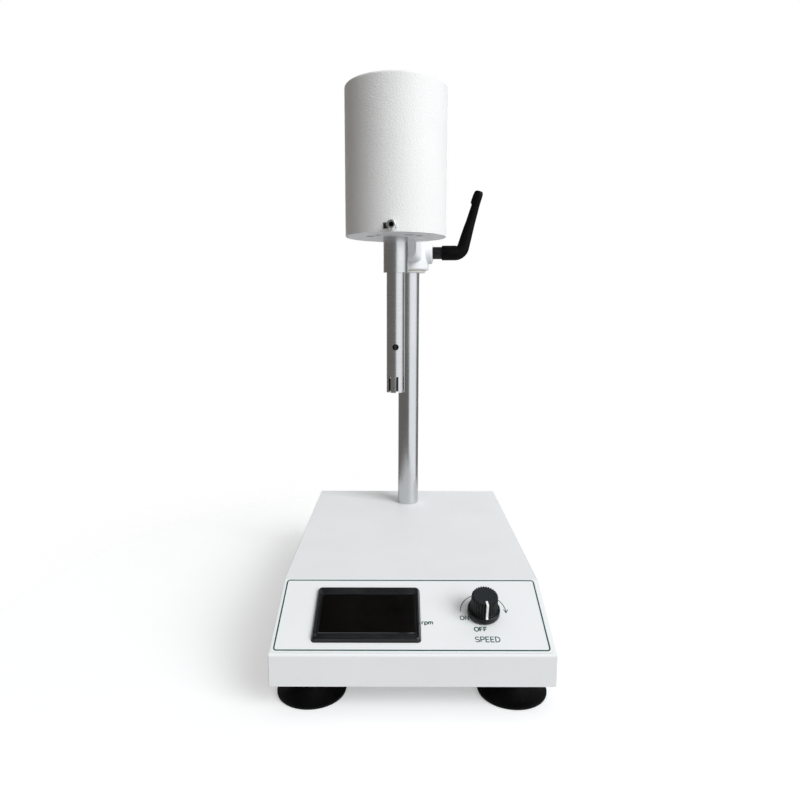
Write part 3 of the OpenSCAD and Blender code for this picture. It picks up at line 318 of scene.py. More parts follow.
MATERIALS = {
    "white_coat": WHITE, "foot_rubber": RUBBER, "column_steel": COLUMN, "tool_steel": TOOL,
    "screw_steel": SCREW, "plain_steel": PLAIN, "bezel_plastic": BEZEL, "window_plastic": WINDOW_RED,
    "knob_plastic": KNOB_BLACK, "pointer_white": POINTER, "lever_plastic": LEVER, "black_plastic": BLACK,
    "board_laminate": BOARD, "brass": BRASS, "sink_aluminium": SINK, "copper": COPPER,
    "bush_plastic": BUSH, "black_oxide": OXIDE,
}

# Pieces inside the tool, which its slots and its hole show, take a near-black steel: painted shade for the
# dark inside of the tool
INSIDE = {"rotor_head": INSIDE_SHADE, "tool_shaft": INSIDE_SHADE, "tool_bushes": INSIDE_SHADE}

for node_name, node_obj in frame["nodes"].items():
    for material_slot in node_obj.material_slots:
        material_slot.material = INSIDE.get(node_name, MATERIALS[slot_of[node_name]])


# Meshes

def make(name, points, faces, material, sharp=35.0):
    """An object at the origin from points in millimetres, smooth up to the sharp angle in degrees."""
    me = bpy.data.meshes.new(name)
    me.from_pydata((np.asarray(points, float).reshape(-1, 3) * MM).tolist(), [], faces)
    me.update()
    me.shade_smooth()
    me.set_sharp_from_angle(angle=math.radians(sharp))
    me.materials.append(material)
    obj = bpy.data.objects.new(name, me)
    bpy.context.scene.collection.objects.link(obj)
    return obj


def dress(obj, body, slot, *nodes):
    """The piece moves with a body and hides the solids that it stands for; the slot is not used."""
    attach(obj, body)
    if nodes:
        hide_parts(*nodes)
    return obj


def bake(obj, sharp=35.0):
    """Puts the result of the object's modifiers into its mesh."""
    graph = bpy.context.evaluated_depsgraph_get()
    done = bpy.data.meshes.new_from_object(obj.evaluated_get(graph))
    old = obj.data
    obj.modifiers.clear()
    obj.data = done
    bpy.data.meshes.remove(old)
    done.shade_smooth()
    done.set_sharp_from_angle(angle=math.radians(sharp))
    return obj


def flat_normals(obj):
    """Weighs the normals by face area, so that large flat faces shade flat up to their rounded edges."""
    weigh = obj.modifiers.new("level", "WEIGHTED_NORMAL")
    weigh.mode = "FACE_AREA"
    weigh.weight = 80
    weigh.keep_sharp = True
    return obj


def second(obj, material, rows, cols, start):
    """A second material on the rows of a skin from start on, and on its last cap."""
    obj.data.materials.append(material)
    marks = np.append(np.repeat(np.arange(rows - 1) >= start, cols), [False, True])
    obj.data.polygons.foreach_set("material_index", marks.astype(np.int32))


def quads(rows, cols, wrap=True):
    """Faces of a grid of points, row by row; wrap joins the last column to the first."""
    n = cols if wrap else cols - 1
    i, j = np.meshgrid(np.arange(rows - 1), np.arange(n), indexing="ij")
    k = (j + 1) % cols
    corners = [i * cols + j, i * cols + k, (i + 1) * cols + k, (i + 1) * cols + j]
    return np.stack(corners, -1).reshape(-1, 4).tolist()


def loft(rings, cap_first=True, cap_last=True):
    """Points and faces of a skin over closed rings, with flat caps."""
    rings = np.asarray(rings, float)
    rows, cols = rings.shape[:2]
    faces = quads(rows, cols)
    if cap_first:
        faces.append(list(range(cols))[::-1])
    if cap_last:
        faces.append([(rows - 1) * cols + j for j in range(cols)])
    return rings.reshape(-1, 3), faces


def turned(profile, n=128):
    """Rings of a turned form about the Z axis: each (radius, height) pair of the profile gives a circle."""
    profile = np.asarray(profile, float)
    a = np.linspace(0, 2 * np.pi, n, endpoint=False)
    return np.stack([profile[:, :1] * np.cos(a), profile[:, :1] * np.sin(a),
                     np.repeat(profile[:, 1:2], n, 1)], -1)


def round_rect(w, h, r, n=6):
    """A closed outline of a rectangle, counter-clockwise, with a quarter circle of n steps at a corner."""
    t = np.linspace(0, np.pi / 2, n + 1)
    arc = np.stack([np.cos(t), np.sin(t)], -1) * r
    turn = np.array([[0, -1], [1, 0]])
    out = []
    for k, (sx, sy) in enumerate(((1, 1), (-1, 1), (-1, -1), (1, -1))):
        out.append(arc @ np.linalg.matrix_power(turn.T, k) + [sx * (w / 2 - r), sy * (h / 2 - r)])
    return np.concatenate(out)


def lift(flat, level):
    """Points of a plane, all raised to one level above it."""
    return np.concatenate([flat, np.full((len(flat), 1), level)], 1)


# Base

COVER_BEND, SEAM_SHARE = 1.6, 0.35
FOOT_X, FOOT_IN = 74.0, 28.5
NECK_R, FLARE, BELL_LOW, BELL_H = 11.0, 14.5, 2.0, 13.0
CUP_R, CUP_H = 22.5, 4.0


def base_cover():
    """Folded sheet box: a side outline of five corners carried across the width, bevelled and given a wall.

    The front, the sloped panel and the top lie between two sides; bends are round and seams nearly sharp.
    """
    outline = [(FRONT_Y, FOOT_H), (FRONT_Y, PANEL_Z), (FRONT_Y + PANEL_RUN, TOP_Z), (REAR_Y, TOP_Z),
               (REAR_Y, FOOT_H)]
    points = [(s * BASE_W / 2, y, z) for s in (-1, 1) for y, z in outline]
    faces = [[0, 5, 6, 1], [1, 6, 7, 2], [2, 7, 8, 3], [0, 1, 2, 3, 4], [9, 8, 7, 6, 5]]
    obj = make("cover_shell", points, faces, WHITE)
    bends = {(1, 6): 1.0, (2, 7): 1.0}
    bends |= {pair: SEAM_SHARE for pair in ((0, 1), (5, 6), (1, 2), (2, 3), (6, 7), (7, 8))}
    weight = obj.data.attributes.new("bevel_weight_edge", "FLOAT", "EDGE")
    weight.data.foreach_set("value", [bends.get(tuple(sorted(e.vertices)), 0.0) for e in obj.data.edges])
    bend = obj.modifiers.new("bend", "BEVEL")
    bend.limit_method = "WEIGHT"
    bend.width = COVER_BEND * MM
    bend.segments = 5
    wall = obj.modifiers.new("wall", "SOLIDIFY")
    wall.thickness = SHEET * MM
    wall.offset = -1.0
    wall.use_even_offset = True
    return dress(flat_normals(bake(obj, 20.0)), "base", "white_coat", "base_cover")


def feet():
    """Four suction feet, one profile turned about each stud: a hollow cup and a bell with a rolled lip.

    The cup and the bell are quarter ellipses; the bell flares from the neck down to the rim.
    """
    t = np.linspace(0, np.pi / 2, 28)
    bell = np.stack([NECK_R + FLARE * (1 - np.sin(t)), BELL_LOW + BELL_H * (1 - np.cos(t))], -1)
    lip = np.array([[24.9, 0.0], [25.3, 0.25], [25.5, 0.8], [25.5, 1.4]])
    cup = np.stack([CUP_R * np.cos(t), CUP_H * np.sin(t)], -1)[::-1]
    cup[0, 0] = 0.05
    neck = [[NECK_R, FOOT_H - 0.6], [NECK_R - 0.6, FOOT_H], [3.1, FOOT_H]]
    rings = turned(np.concatenate([cup, lip, bell, neck]), 96)
    spots = [(x, y) for y in (FRONT_Y + FOOT_IN, REAR_Y - FOOT_IN) for x in (-FOOT_X, FOOT_X)]
    for k, (x, y) in enumerate(spots):
        points, faces = loft(rings + np.array([x, y, 0.0]))
        obj = make(f"foot_{k + 1}", points, faces, RUBBER)
        dress(obj, "base", "foot_rubber", *(("suction_feet",) if k == 0 else ()))


# Control panel

FILM_SIZE, FILM_AT, FILM_CORNER = (196.4, 69.6), (-0.6, 36.4), 2.0
FRAME_HOLE, FRAME_HOLE_CORNER = (78.4, 51.6), 2.6
BUSH_HOLE = 5.0
FRAME_LINE, FRAME_LINE_AT, FRAME_LINE_W = (192.4, 66.6), (-0.7, 37.2), 1.05
ARROW_R, ARROW_UP, ARROW_W, ARROW_TIP = 16.8, 1.5, 0.6, 0.8
BARB_L, BARB_TURN, BARB_LEAN = 3.6, 88, 24
INK_UP, INK_THICK = 0.06, 0.05


def rect_rings(steps, centre):
    """Rings of rectangles with round corners on the panel: width, height, corner radius, level."""
    return [lift(round_rect(w, h, r) + centre, z) for w, h, r, z in steps]


def bezel():
    """Display frame: rectangles carried up its leaning sides, over the lip, down the sleeve and back."""
    outer = [(78.0, 51.2, 2.5, 0.0), (77.9, 51.1, 2.5, 0.15), (76.2, 49.4, 2.4, 2.4),
             (75.8, 49.0, 2.4, 2.75), (75.2, 48.4, 2.3, 2.95), (74.4, 47.6, 2.2, 3.0)]
    inner = [(71.6, 39.1, 1.7, 2.74), (71.2, 38.7, 1.6, 2.62), (70.8, 38.3, 1.5, 2.62),
             (70.5, 38.0, 1.5, 2.72), (70.2, 37.7, 1.4, 2.95), (69.9, 37.4, 1.3, 3.0),
             (68.7, 36.2, 1.1, 2.8), (68.2, 35.7, 1.0, 2.6), (68.0, 35.5, 1.0, 2.3)]
    sleeve = [(70.0, 37.5, 0.4, 2.3), (70.0, 37.5, 0.4, -14.0),
              (73.0, 40.5, 0.4, -14.0), (73.0, 40.5, 0.4, 0.0)]
    rings = rect_rings(outer, DISPLAY) + rect_rings(inner + sleeve, WINDOW)
    points, faces = loft(rings + rings[:1], False, False)
    obj = make("bezel_frame", on_panel(points), faces, BEZEL, 25.0)
    return dress(flat_normals(obj), "base", "bezel_plastic", "display_bezel")


def pane():
    """Window pane: rectangles carried up a flange under the frame's lip and in over a fine chamfer."""
    steps = [(69.9, 37.4, 0.4, 0.0), (69.9, 37.4, 0.4, 2.25), (67.8, 35.3, 1.0, 2.25),
             (67.8, 35.3, 1.0, 2.42), (67.5, 35.0, 0.9, 2.58), (67.0, 34.5, 0.8, 2.64)]
    points, faces = loft(rect_rings(steps, WINDOW))
    obj = make("window_pane", on_panel(points), faces, WINDOW_RED, 25.0)
    return dress(flat_normals(obj), "base", "window_plastic", "display_window")


def film():
    """Printed film: a rectangle with round corners, less one for the display and a circle for the knob.

    It is two faces, an upper and a lower half, which meet along a line through both holes.
    """
    outer = round_rect(*FILM_SIZE, FILM_CORNER) + FILM_AT
    hole = round_rect(*FRAME_HOLE, FRAME_HOLE_CORNER) + DISPLAY
    turn = np.linspace(np.pi, -np.pi, 33)[:-1]
    bush = np.stack([np.cos(turn), np.sin(turn)], -1) * BUSH_HOLE + KNOB
    left, right = ([[FILM_AT[0] + k * FILM_SIZE[0] / 2, FILM_AT[1]]] for k in (-1, 1))
    far, near = ([[DISPLAY[0] + k * FRAME_HOLE[0] / 2, DISPLAY[1]]] for k in (-1, 1))
    half = len(outer) // 2
    over = len(bush) // 2 + 1
    top = [right, outer[:half], left, far, hole[half - 1::-1], near, bush[:over]]
    low = [outer[half:], bush[over:], hole[:half - 1:-1]]
    flat = np.concatenate(top + low)
    n = sum(len(part) for part in top)
    ends = np.cumsum([len(part) for part in low])[:-1]
    edge, round_bush, round_frame = np.split(np.arange(n, len(flat)), ends)
    left_at = 1 + half
    far_at = left_at + 1
    near_at = far_at + half + 1
    lower = [left_at, *edge, 0, n - 1, *round_bush, near_at + 1, near_at, *round_frame, far_at]
    faces = [list(range(n)), [int(k) for k in lower]]
    obj = make("panel_film", on_panel(lift(flat, FILM_UP)), faces, SHEET_WHITE)
    # The rim takes the darker grey: painted shade along the film's edge
    obj.data.materials.append(FILM_EDGE_SHADE)
    body = obj.modifiers.new("body", "SOLIDIFY")
    body.thickness = (FILM_UP - 0.01) * MM
    body.offset = -1.0
    body.material_offset_rim = 1
    return dress(bake(obj), "base", "pointer_white")


def ribbon(line, width, closed=False):
    """Points and faces of a flat stroke of this width along a line in the plane, with mitred corners.

    At each point the two edges lie across the mean of the directions before and after it, at half the width
    over the cosine of half the turn.
    """
    p = np.asarray(line, float)
    if closed:
        before, after = np.roll(p, 1, 0), np.roll(p, -1, 0)
    else:
        before = np.concatenate([[2 * p[0] - p[1]], p[:-1]])
        after = np.concatenate([p[1:], [2 * p[-1] - p[-2]]])
    u = (p - before) / np.linalg.norm(p - before, axis=1, keepdims=True)
    v = (after - p) / np.linalg.norm(after - p, axis=1, keepdims=True)
    m = u + v
    m /= np.linalg.norm(m, axis=1, keepdims=True)
    side = np.stack([-m[:, 1], m[:, 0]], -1)
    grow = 1 / np.clip(np.abs((np.stack([-u[:, 1], u[:, 0]], -1) * side).sum(1, keepdims=True)), 0.4, 1)
    points = np.stack([p - side * grow * width / 2, p + side * grow * width / 2], 1).reshape(-1, 2)
    n = len(p)
    count = n if closed else n - 1
    i = np.arange(count)
    j = (i + 1) % n
    return points, np.stack([2 * i, 2 * j, 2 * j + 1, 2 * i + 1], -1).tolist()


def bow(cx, cy, rx, ry, a0, a1, n=14):
    """Points of an elliptical arc: the centre plus the radii times cosine and sine, angles in degrees."""
    t = np.radians(np.linspace(a0, a1, n))
    return np.stack([cx + rx * np.cos(t), cy + ry * np.sin(t)], -1).tolist()


# Strokes of the letters that the panel needs, for a capital of height 1, and each letter's width
LETTERS = {
    "O": (0.78, [bow(0.39, 0.5, 0.39, 0.5, 90, 450, 29)]),
    "N": (0.66, [[(0, 0), (0, 1), (0.66, 0), (0.66, 1)]]),
    "F": (0.52, [[(0.52, 1), (0, 1), (0, 0)], [(0, 0.52), (0.44, 0.52)]]),
    "S": (0.60, [bow(0.30, 0.74, 0.28, 0.26, 25, 270, 14) + bow(0.30, 0.25, 0.30, 0.25, 90, -155, 14)[1:]]),
    "P": (0.56, [[(0, 0), (0, 1), (0.30, 1)] + bow(0.30, 0.735, 0.26, 0.265, 85, -85)
                 + [(0.30, 0.47), (0, 0.47)]]),
    "E": (0.54, [[(0.54, 1), (0, 1), (0, 0), (0.54, 0)], [(0, 0.52), (0.46, 0.52)]]),
    "D": (0.66, [[(0, 0), (0, 1), (0.24, 1)] + bow(0.24, 0.5, 0.42, 0.5, 85, -85)
                 + [(0.24, 0), (0, 0), (0, 0.1)]]),
    "r": (0.34, [[(0, 0), (0, 0.68)], bow(0.26, 0.42, 0.26, 0.26, 175, 70, 8)]),
    "p": (0.54, [[(0, -0.28), (0, 0.68)], bow(0.27, 0.34, 0.27, 0.34, 180, 540, 22)]),
    "m": (0.84, [[(0, 0), (0, 0.68)], bow(0.21, 0.44, 0.21, 0.24, 175, 0, 9) + [(0.42, 0)],
                 bow(0.63, 0.44, 0.21, 0.24, 175, 0, 9) + [(0.84, 0)]]),
}

# Each word's place on the panel, its capitals' height, its sideways spread and the width of its strokes
WORDS = {
    "ON": ((38.3, 32.9), 3.6, 1.0, 0.7),
    "OFF": ((49.1, 22.5), 3.6, 1.08, 0.85),
    "SPEED": ((53.1, 13.4), 4.3, 1.04, 0.73),
    "rpm": ((10.9, 28.6), 3.5, 1.0, 0.74),
}


def word(text, centre, height, spread, gap=0.24):
    """Strokes of a word on the panel, centred there, with its capitals this high and spread sideways."""
    widths = [LETTERS[c][0] for c in text]
    x = -(sum(widths) + gap * (len(text) - 1)) / 2
    size = np.array([height * spread, height])
    strokes = []
    for c, w in zip(text, widths):
        for line in LETTERS[c][1]:
            strokes.append((np.array(line) + [x, -0.5]) * size + centre)
        x += w + gap
    return strokes


def legends():
    """Printed legends: the frame line, the words, and an arc round the knob that ends in two barbs."""
    marks = [ribbon(round_rect(*FRAME_LINE, 2.0) + FRAME_LINE_AT, FRAME_LINE_W, True)]
    for text, (centre, height, spread, width) in WORDS.items():
        marks += [ribbon(line, width) for line in word(text, centre, height, spread)]
    arc = np.array(bow(KNOB[0], KNOB[1] + ARROW_UP, ARROW_R, ARROW_R, 180, -2, 60))
    marks.append(ribbon(arc, ARROW_W))
    tip = arc[-1] - [0, ARROW_TIP]
    for lean in (-BARB_LEAN, BARB_LEAN):
        back = math.radians(BARB_TURN + lean)
        marks.append(ribbon([tip, tip + BARB_L * np.array([math.cos(back), math.sin(back)])], ARROW_W))
    points, faces, count = [], [], 0
    for flat, strips in marks:
        points.append(lift(flat, FILM_UP + INK_UP))
        faces += (np.array(strips) + count).tolist()
        count += len(flat)
    obj = make("panel_legends", on_panel(np.concatenate(points)), faces, INK)
    cover = obj.modifiers.new("cover", "SOLIDIFY")
    cover.thickness = INK_THICK * MM
    cover.offset = -1.0
    return dress(bake(obj), "base", "pointer_white")


# Knob

KNOB_PROFILE = np.concatenate([
    [[6.0, 0.8], [11.2, 0.8], [11.7, 1.0], [12.0, 1.5], [12.0, 4.4]],
    [[11.93, 4.95], [11.7, 5.45], [11.3, 5.8], [10.8, 5.96], [10.2, 6.0]],
    np.stack([np.linspace(10.1, 9.62, 22), np.linspace(6.25, 17.2, 22)], -1),
    [[9.58, 17.5], [9.42, 17.8], [9.15, 17.95], [8.8, 18.0], [8.2, 18.0]],
    [[7.8, 17.97], [4.0, 17.95], [0.05, 17.94]],
])
FLUTES, FLUTE_DEPTH = 30, 0.85
POINTER_PATH = np.array([
    [5.5, 18.06], [7.9, 18.1], [8.9, 18.12], [9.25, 18.05], [9.55, 17.86], [9.7, 17.5], [9.74, 17.1],
    [9.95, 12.0], [10.18, 6.9], [10.3, 6.35], [10.6, 6.12], [11.1, 6.0], [11.5, 5.75],
])
POINTER_HALF, POINTER_SINK = 0.82, 0.35


def knob():
    """Fluted cap over a plain skirt: a turned profile whose radius dips between the ribs.

    The dip is a raised cosine of the angle to the power 1.3, and fades out at the skirt and on the top.
    """
    n = FLUTES * 16
    rings = turned(KNOB_PROFILE, n)
    a = np.linspace(0, 2 * np.pi, n, endpoint=False)
    r, z = KNOB_PROFILE.T
    fade = np.clip((z - 6.1) / 0.7, 0, 1) * np.clip((r - 8.0) / 0.6, 0, 1)
    dip = FLUTE_DEPTH * (0.5 + 0.5 * np.cos(FLUTES * a)) ** 1.3
    scale = 1 - fade[:, None] * dip[None, :] / r[:, None]
    rings[..., :2] *= scale[..., None]
    points, faces = loft(rings)
    obj = make("knob_cap", on_panel(points + [*KNOB, 0]), faces, KNOB_BLACK, 40.0)
    # The top takes the lighter copy, painted light on the upward face; the sides keep the darker black
    second(obj, KNOB_TOP_LIT, len(z), n, int(np.argmax(z)))
    return dress(obj, "knob", "knob_plastic", "speed_knob")


def pointer():
    """White line on the knob: a flat section carried along a path over its top and down its side."""
    out = np.array([math.sin(POINTER_TURN), -math.cos(POINTER_TURN)])
    across = np.array([-out[1], out[0]])
    low = POINTER_PATH - POINTER_SINK
    section = []
    for k, line in ((1, low), (1, POINTER_PATH), (-1, POINTER_PATH), (-1, low)):
        flat = line[:, :1] * out + k * POINTER_HALF * across
        section.append(np.concatenate([flat, line[:, 1:]], 1))
    points, faces = loft(np.stack(section, 1))
    obj = make("knob_line", on_panel(points + [*KNOB, 0]), faces, POINTER)
    return dress(obj, "knob", "pointer_white", "knob_pointer")


# Head

NOTCH_HALF, NOTCH_H = 14.2, 12.2
VENTS, VENT_HALF, VENT_H, VENT_PITCH, VENT_DOWN = 5, 15.0, 2.5, 5.0, 34.0
CAN_RIM = 0.35
SOCKET_HALF, LOCK_INNER = 1.75, 10.8


def motor_can():
    """Turned cover on a grid of angles and levels: a straight wall, a quarter circle and a flat top.

    The screw's slot, the arm's notch and the air slots are cells left open before the sheet gets its wall.
    """
    widths = (SLOT_HALF, NOTCH_HALF, VENT_HALF)
    slot_a, notch_a, vent_a = (math.degrees(math.asin(w / CAN_R)) for w in widths)
    vents = [CAN_H - VENT_DOWN + VENT_PITCH * i for i in range(VENTS)]
    cuts = [((-slot_a, slot_a), (SLOT_LOW, SLOT_HIGH)), ((180 - notch_a, 180 + notch_a), (-1.0, NOTCH_H))]
    cuts += [((180 - vent_a, 180 + vent_a), (z, z + VENT_H)) for z in vents]
    angles = set(np.arange(0, 360, 2.5).tolist())
    angles |= {a % 360 for (a0, a1), _ in cuts for a in (a0, a1)}
    angles = np.array(sorted(angles))
    levels = sorted({0.0, 30.0, 60.0, CAN_H - CAN_EDGE} | {z for _, zz in cuts for z in zz if z > 0})
    t = np.radians(np.linspace(0, 90, 9))[1:]
    profile = [(CAN_R, z) for z in levels]
    profile += [(CAN_R - CAN_EDGE * (1 - math.cos(a)), CAN_H - CAN_EDGE * (1 - math.sin(a))) for a in t]
    profile += [(r, CAN_H) for r in (30.0, 15.0, 1.0)]
    profile = np.array(profile)
    a = np.radians(angles)
    rings = np.stack([profile[:, :1] * np.sin(a), -profile[:, :1] * np.cos(a),
                      np.repeat(profile[:, 1:], len(a), 1)], -1)
    rows, cols = len(profile), len(a)
    middle_a = angles + ((np.roll(angles, -1) - angles) % 360) / 2
    middle_z = np.append((profile[:-1, 1] + profile[1:, 1]) / 2, CAN_H)
    keep = np.ones((rows - 1, cols), bool)
    for (a0, a1), (z0, z1) in cuts:
        inside = ((middle_a - a0) % 360) < (a1 - a0)
        level = (middle_z[:-1] > z0) & (middle_z[:-1] < z1) & (profile[:-1, 0] == CAN_R)
        keep[np.ix_(level, inside)] = False
    faces = np.array(quads(rows, cols))[keep.ravel()].tolist()
    faces.append([(rows - 1) * cols + j for j in range(cols)])
    obj = make("motor_can", on_head(rings), faces, CAN_WHITE)
    wall = obj.modifiers.new("wall", "SOLIDIFY")
    wall.thickness = CAN_WALL * MM
    wall.offset = -1.0
    edge = obj.modifiers.new("edge", "BEVEL")
    edge.limit_method = "ANGLE"
    edge.angle_limit = math.radians(50)
    edge.width = CAN_RIM * MM
    edge.segments = 2
    return dress(flat_normals(bake(obj, 30.0)), "head", "white_coat", "motor_housing")


def slot_lining():
    """Lining of the pocket behind the locking screw's slot: a thin box, open towards the front."""
    gap, front, back = 0.06, -40.6, -27.4
    x, low, high = SLOT_HALF - gap, SLOT_LOW + gap, SLOT_HIGH - gap
    corners = ((-x, low), (x, low), (x, high), (-x, high))
    points = [(side, y, z) for y in (front, back) for side, z in corners]
    faces = [[0, 4, 5, 1], [1, 5, 6, 2], [2, 6, 7, 3], [3, 7, 4, 0], [4, 7, 6, 5]]
    obj = make("slot_lining", on_head(points), faces, LINING)
    wall = obj.modifiers.new("wall", "SOLIDIFY")
    wall.thickness = 0.3 * MM
    wall.offset = 1.0
    return dress(bake(obj), "head", "black_plastic")


def lock_screw():
    """Socket-head screw that locks the tool: round rings along its axis, then six-sided rings of its socket.

    A hexagon's radius is its half width over the cosine of the angle from the middle of the nearest side.
    """
    n = 72
    a = np.linspace(0, 2 * np.pi, n, endpoint=False)
    sector = (a + math.pi / 6) % (math.pi / 3) - math.pi / 6
    hexagon = SOCKET_HALF / np.cos(sector)
    head = CAN_R + 0.05
    profile = [(1.95, LOCK_INNER), (1.95, head), (3.6, head), (3.8, head + 0.25), (3.8, head + 5.2),
               (3.72, head + 5.55), (3.5, head + 5.85), (3.15, head + 6.0), (2.5, head + 6.0)]
    rings = [np.full(n, r) for r, _ in profile] + [hexagon * 1.08, hexagon, hexagon, hexagon * 0.5]
    levels = [z for _, z in profile] + [head + 5.95, head + 5.75, head + 3.0, head + 2.6]
    radius = np.stack(rings)
    x, up = radius * np.cos(a), radius * np.sin(a)
    y = -np.repeat(np.array(levels)[:, None], n, 1)
    c, s = math.cos(LOCK_TURN), math.sin(LOCK_TURN)
    points, faces = loft(np.stack([x * c - y * s, x * s + y * c, up + LOCK_UP], -1))
    obj = make("lock_screw", on_head(points), faces, LOCK, 30.0)
    # The socket's walls and bottom take the near-black slot_shade: painted shade in the hole
    second(obj, SHADE, len(levels), n, len(profile) + 1)
    return dress(obj, "head", "screw_steel", "tool_lock_screw")


# Clamp lever: the hub's places and radii along its axis; the grip's heights and reach in, out and sideways

LEVER_LEAN = math.radians(15.7)
ELBOW_X, ELBOW_R, ELBOW_STEPS, ELBOW_END = 54.4, 8.0, 14, (6.3, 6.1, 6.2)
SECTION_POWER = 2.6
HUB = np.array([(34.0, 7.0), (34.4, 7.35), (35.2, 7.5), (40.0, 7.5), (46.0, 7.5)])
GRIP = np.array([
    (10.0, 6.15, 5.9, 6.0), (14.0, 6.0, 5.7, 5.8), (20.0, 5.7, 5.35, 5.4), (25.0, 5.35, 5.05, 5.1),
    (30.0, 4.9, 4.75, 4.8), (36.0, 4.6, 4.6, 4.6), (41.5, 4.35, 4.4, 4.4), (45.2, 4.15, 4.2, 4.3),
    (47.1, 4.1, 4.15, 4.3), (47.9, 4.9, 4.15, 4.5), (48.5, 5.5, 4.15, 4.7), (51.1, 5.6, 4.2, 4.8),
    (56.1, 5.3, 4.3, 4.8), (58.9, 4.9, 4.2, 4.5), (60.3, 4.2, 3.7, 3.9), (61.0, 3.2, 2.9, 3.0),
    (61.1, 0.3, 0.3, 0.3),
])


def lever():
    """Bent clamp handle: a section carried along a spine of the hub's axis, an arc and the leaning grip.

    Along the arc the section grows from a circle into a superellipse. Its reach differs on the inner side,
    which carries the lip at the tip, on the outer side, and sideways.
    """
    turn = math.pi / 2 - LEVER_LEAN
    s = np.linspace(0, turn, ELBOW_STEPS)
    bend_x = ELBOW_X - ELBOW_R * math.tan(turn / 2)
    arc = np.stack([bend_x + ELBOW_R * np.sin(s), ELBOW_R * (1 - np.cos(s))], -1)
    height = GRIP[:, 0]
    grip = np.stack([ELBOW_X + height * math.tan(LEVER_LEAN), height], -1)
    spine = np.concatenate([HUB * (1, 0), arc, grip])
    inner, outer, deep = (
        np.concatenate([HUB[:, 1], np.linspace(HUB[-1, 1], end, ELBOW_STEPS), GRIP[:, k + 1]])[:, None]
        for k, end in enumerate(ELBOW_END))
    along = np.gradient(spine, axis=0)
    along[:len(HUB)] = (1, 0)
    along[-len(GRIP):] = (math.sin(LEVER_LEAN), math.cos(LEVER_LEAN))
    along /= np.linalg.norm(along, axis=1, keepdims=True)
    across = np.stack([-along[:, 1], along[:, 0]], -1)
    a = np.linspace(0, 2 * np.pi, 48, endpoint=False)
    power = np.abs(np.cos(a)) ** SECTION_POWER + np.abs(np.sin(a)) ** SECTION_POWER
    square = power ** (-1 / SECTION_POWER)
    mix = np.concatenate([np.zeros(len(HUB)), np.linspace(0, 1, ELBOW_STEPS), np.ones(len(GRIP))])[:, None]
    shape = 1 + (square[None, :] - 1) * mix
    x = shape * np.cos(a) * np.where(np.cos(a) > 0, inner, outer)
    y = -shape * np.sin(a) * deep
    rings = np.stack([spine[:, :1] + across[:, :1] * x, y, spine[:, 1:] + across[:, 1:] * x], -1)
    points, faces = loft(rings)
    obj = make("lever_grip", on_lever(points), faces, LEVER, 50.0)
    return dress(obj, "lever", "lever_plastic", "lever_handle")


base_cover()
feet()
bezel()
pane()
film()
legends()
knob()
pointer()
motor_can()
slot_lining()
lock_screw()
lever()


# Floor, light and camera

# The view's focal length and width are in pixels, its turns in degrees, and the key light in metres
VIEW_PLACE = (-10.11, FRONT_Y - 407.92, FOOT_H + 261.22)
VIEW_TURNS = (8.37, -0.09, 0.17)
VIEW_FOCUS, VIEW_WIDTH, SENSOR = 636.13, 800.0, 36.0
KEY_PLACE, KEY_AIM = (5.19, -4.35, 4.51), (0, 0, 0.25)


def floor():
    """Pale disc of plain rings that fades out into the white background.

    Rays of the camera, of gloss and through glass see it lifted a little towards white.
    """
    rings = turned([(0.5, 0.0), (400.0, 0.0), (900.0, 0.0), (1500.0, 0.0)], 96)
    points, faces = loft(rings, True, False)
    constants = {"Roughness": 0.6, "Specular IOR Level": 0.1, "Emission Strength": 1.0}
    mat, bsdf, at = shader("floor_pale", constants)
    far = at.node("ShaderNodeVectorMath", {"operation": "LENGTH"}, {0: at}, 1)
    path = at.tree.nodes.new("ShaderNodeLightPath")
    direct, mirror, through = (Sock(at.tree, path.outputs[f"Is {kind} Ray"])
                               for kind in ("Camera", "Glossy", "Transmission"))
    seen = at.math("MAXIMUM", at.math("MAXIMUM", direct, mirror), through)
    feed(bsdf, "Base Color", seen.tint((0.43, 0.435, 0.44), (0.76, 0.765, 0.77)))
    feed(bsdf, "Emission Color", seen.tint((0.0, 0.0, 0.0), (0.35, 0.35, 0.35)))
    feed(bsdf, "Alpha", 1.0 - far.step(0.17, 0.50))
    obj = make("floor", points - [0, 0, 0.05], faces, mat)


def area(name, place, target, size, power, colour):
    """A square soft light that looks at a point, both given in metres."""
    light = bpy.data.lights.new(name, "AREA")
    light.shape = "SQUARE"
    light.size = size
    light.energy = power
    light.color = colour
    obj = bpy.data.objects.new(name, light)
    back = np.array(place, float) - np.array(target, float)
    back /= np.linalg.norm(back)
    right = np.cross((0, 0, 1), back)
    right /= np.linalg.norm(right)
    up = np.cross(back, right)
    turn = np.eye(4)
    turn[:3, 0], turn[:3, 1], turn[:3, 2], turn[:3, 3] = right, up, back, place
    obj.matrix_world = Matrix(turn.tolist())
    bpy.context.scene.collection.objects.link(obj)


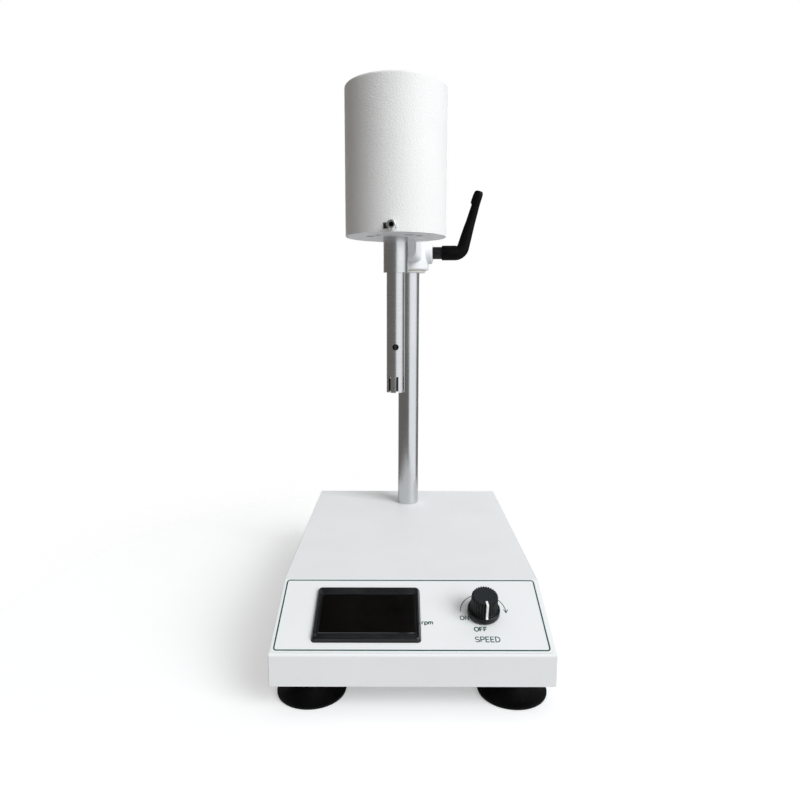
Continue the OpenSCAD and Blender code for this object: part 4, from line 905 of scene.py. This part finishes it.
def surroundings():
    """White behind the part, a soft dim room for its matt faces, and white screens in the room of its gloss.

    The matt room is brighter in front and behind on the right, and above. The gloss sees a screen on the
    right, the white behind and a strip of roof.
    """
    world = bpy.data.worlds.new("studio")
    bpy.context.scene.world = world
    world.use_nodes = True
    tree = world.node_tree
    plain = tree.nodes["Background"]
    path = tree.nodes.new("ShaderNodeLightPath")
    direct = Sock(tree, path.outputs["Is Camera Ray"])
    seen = direct.math("MAXIMUM", direct, Sock(tree, path.outputs["Is Transmission Ray"]))
    mirror = Sock(tree, path.outputs["Is Glossy Ray"])
    ray = Sock(tree, tree.nodes.new("ShaderNodeTexCoord").outputs["Generated"])
    side, depth, high = (ray.node("ShaderNodeSeparateXYZ", {}, {0: ray}, k) for k in range(3))
    front = (1.0 - depth.step(-0.9, 0.1)) * side.step(-0.6, 0.2)
    rear = depth.step(-0.1, 0.9) * side.step(-0.3, 0.4)
    ahead = 1.0 - depth.step(-1.0, -0.5)
    soft = front * 0.32 + ahead * 0.06 + rear * 0.46 + side.step(-0.6, 0.8) * 0.06
    soft = soft + high.step(0.55, 0.9) * 0.42 + 0.15
    screen = side.step(0.02, 0.22) * (1.0 - depth.step(-0.1, 0.25)) * (1.0 - high.step(0.45, 0.75))
    strip = side.step(-0.14, 0.08) * (1.0 - side.step(0.15, 0.4))
    roof = high.step(0.80, 0.90) * strip * depth.step(-0.2, 0.1)
    gloss = screen + depth.step(0.75, 0.92) + roof * 1.4 + (1.0 - high.step(0.3, 0.8)) * 0.10 + 0.09
    room = mirror * gloss + (1.0 - mirror) * soft
    tree.links.new((seen + (1.0 - seen) * room).out, plain.inputs["Strength"])
    tint = side.step(-0.9, 0.1).tint((1.0, 0.93, 0.85), (0.97, 0.99, 1.0))
    white = seen.node("ShaderNodeMix", {"data_type": "RGBA"}, {"Factor": seen})
    tree.links.new(tint.out, white.out.node.inputs[6])
    white.out.node.inputs[7].default_value = (1.0, 1.0, 1.0, 1.0)
    tree.links.new(white.out.node.outputs[2], plain.inputs["Color"])


def camera():
    """The photograph's viewpoint, solved from the base's edges: its place, and three turns in degrees."""
    place = np.array(VIEW_PLACE)
    pitch, yaw, roll = (math.radians(v) for v in VIEW_TURNS)
    right = np.array([math.cos(yaw), math.sin(yaw), 0.0])
    level = np.array([-math.sin(yaw), math.cos(yaw), 0.0])
    top = np.array([0.0, 0.0, 1.0])
    forward = level * math.cos(pitch) - top * math.sin(pitch)
    up = top * math.cos(pitch) + level * math.sin(pitch)
    turn = np.eye(4)
    turn[:3, 0] = right * math.cos(roll) + up * math.sin(roll)
    turn[:3, 1] = up * math.cos(roll) - right * math.sin(roll)
    turn[:3, 2] = -forward
    turn[:3, 3] = place * MM
    cam = bpy.data.cameras.new("camera")
    cam.sensor_width = SENSOR
    cam.lens = SENSOR * VIEW_FOCUS / VIEW_WIDTH
    cam.clip_start = 0.01
    obj = bpy.data.objects.new("camera", cam)
    obj.matrix_world = Matrix(turn.tolist())
    bpy.context.scene.collection.objects.link(obj)
    bpy.context.scene.camera = obj


floor()
area("key", KEY_PLACE, KEY_AIM, size=5.0, power=560.0, colour=(0.98, 0.99, 1.0))
surroundings()
camera()

scene = bpy.context.scene
scene.view_settings.view_transform = "Standard"
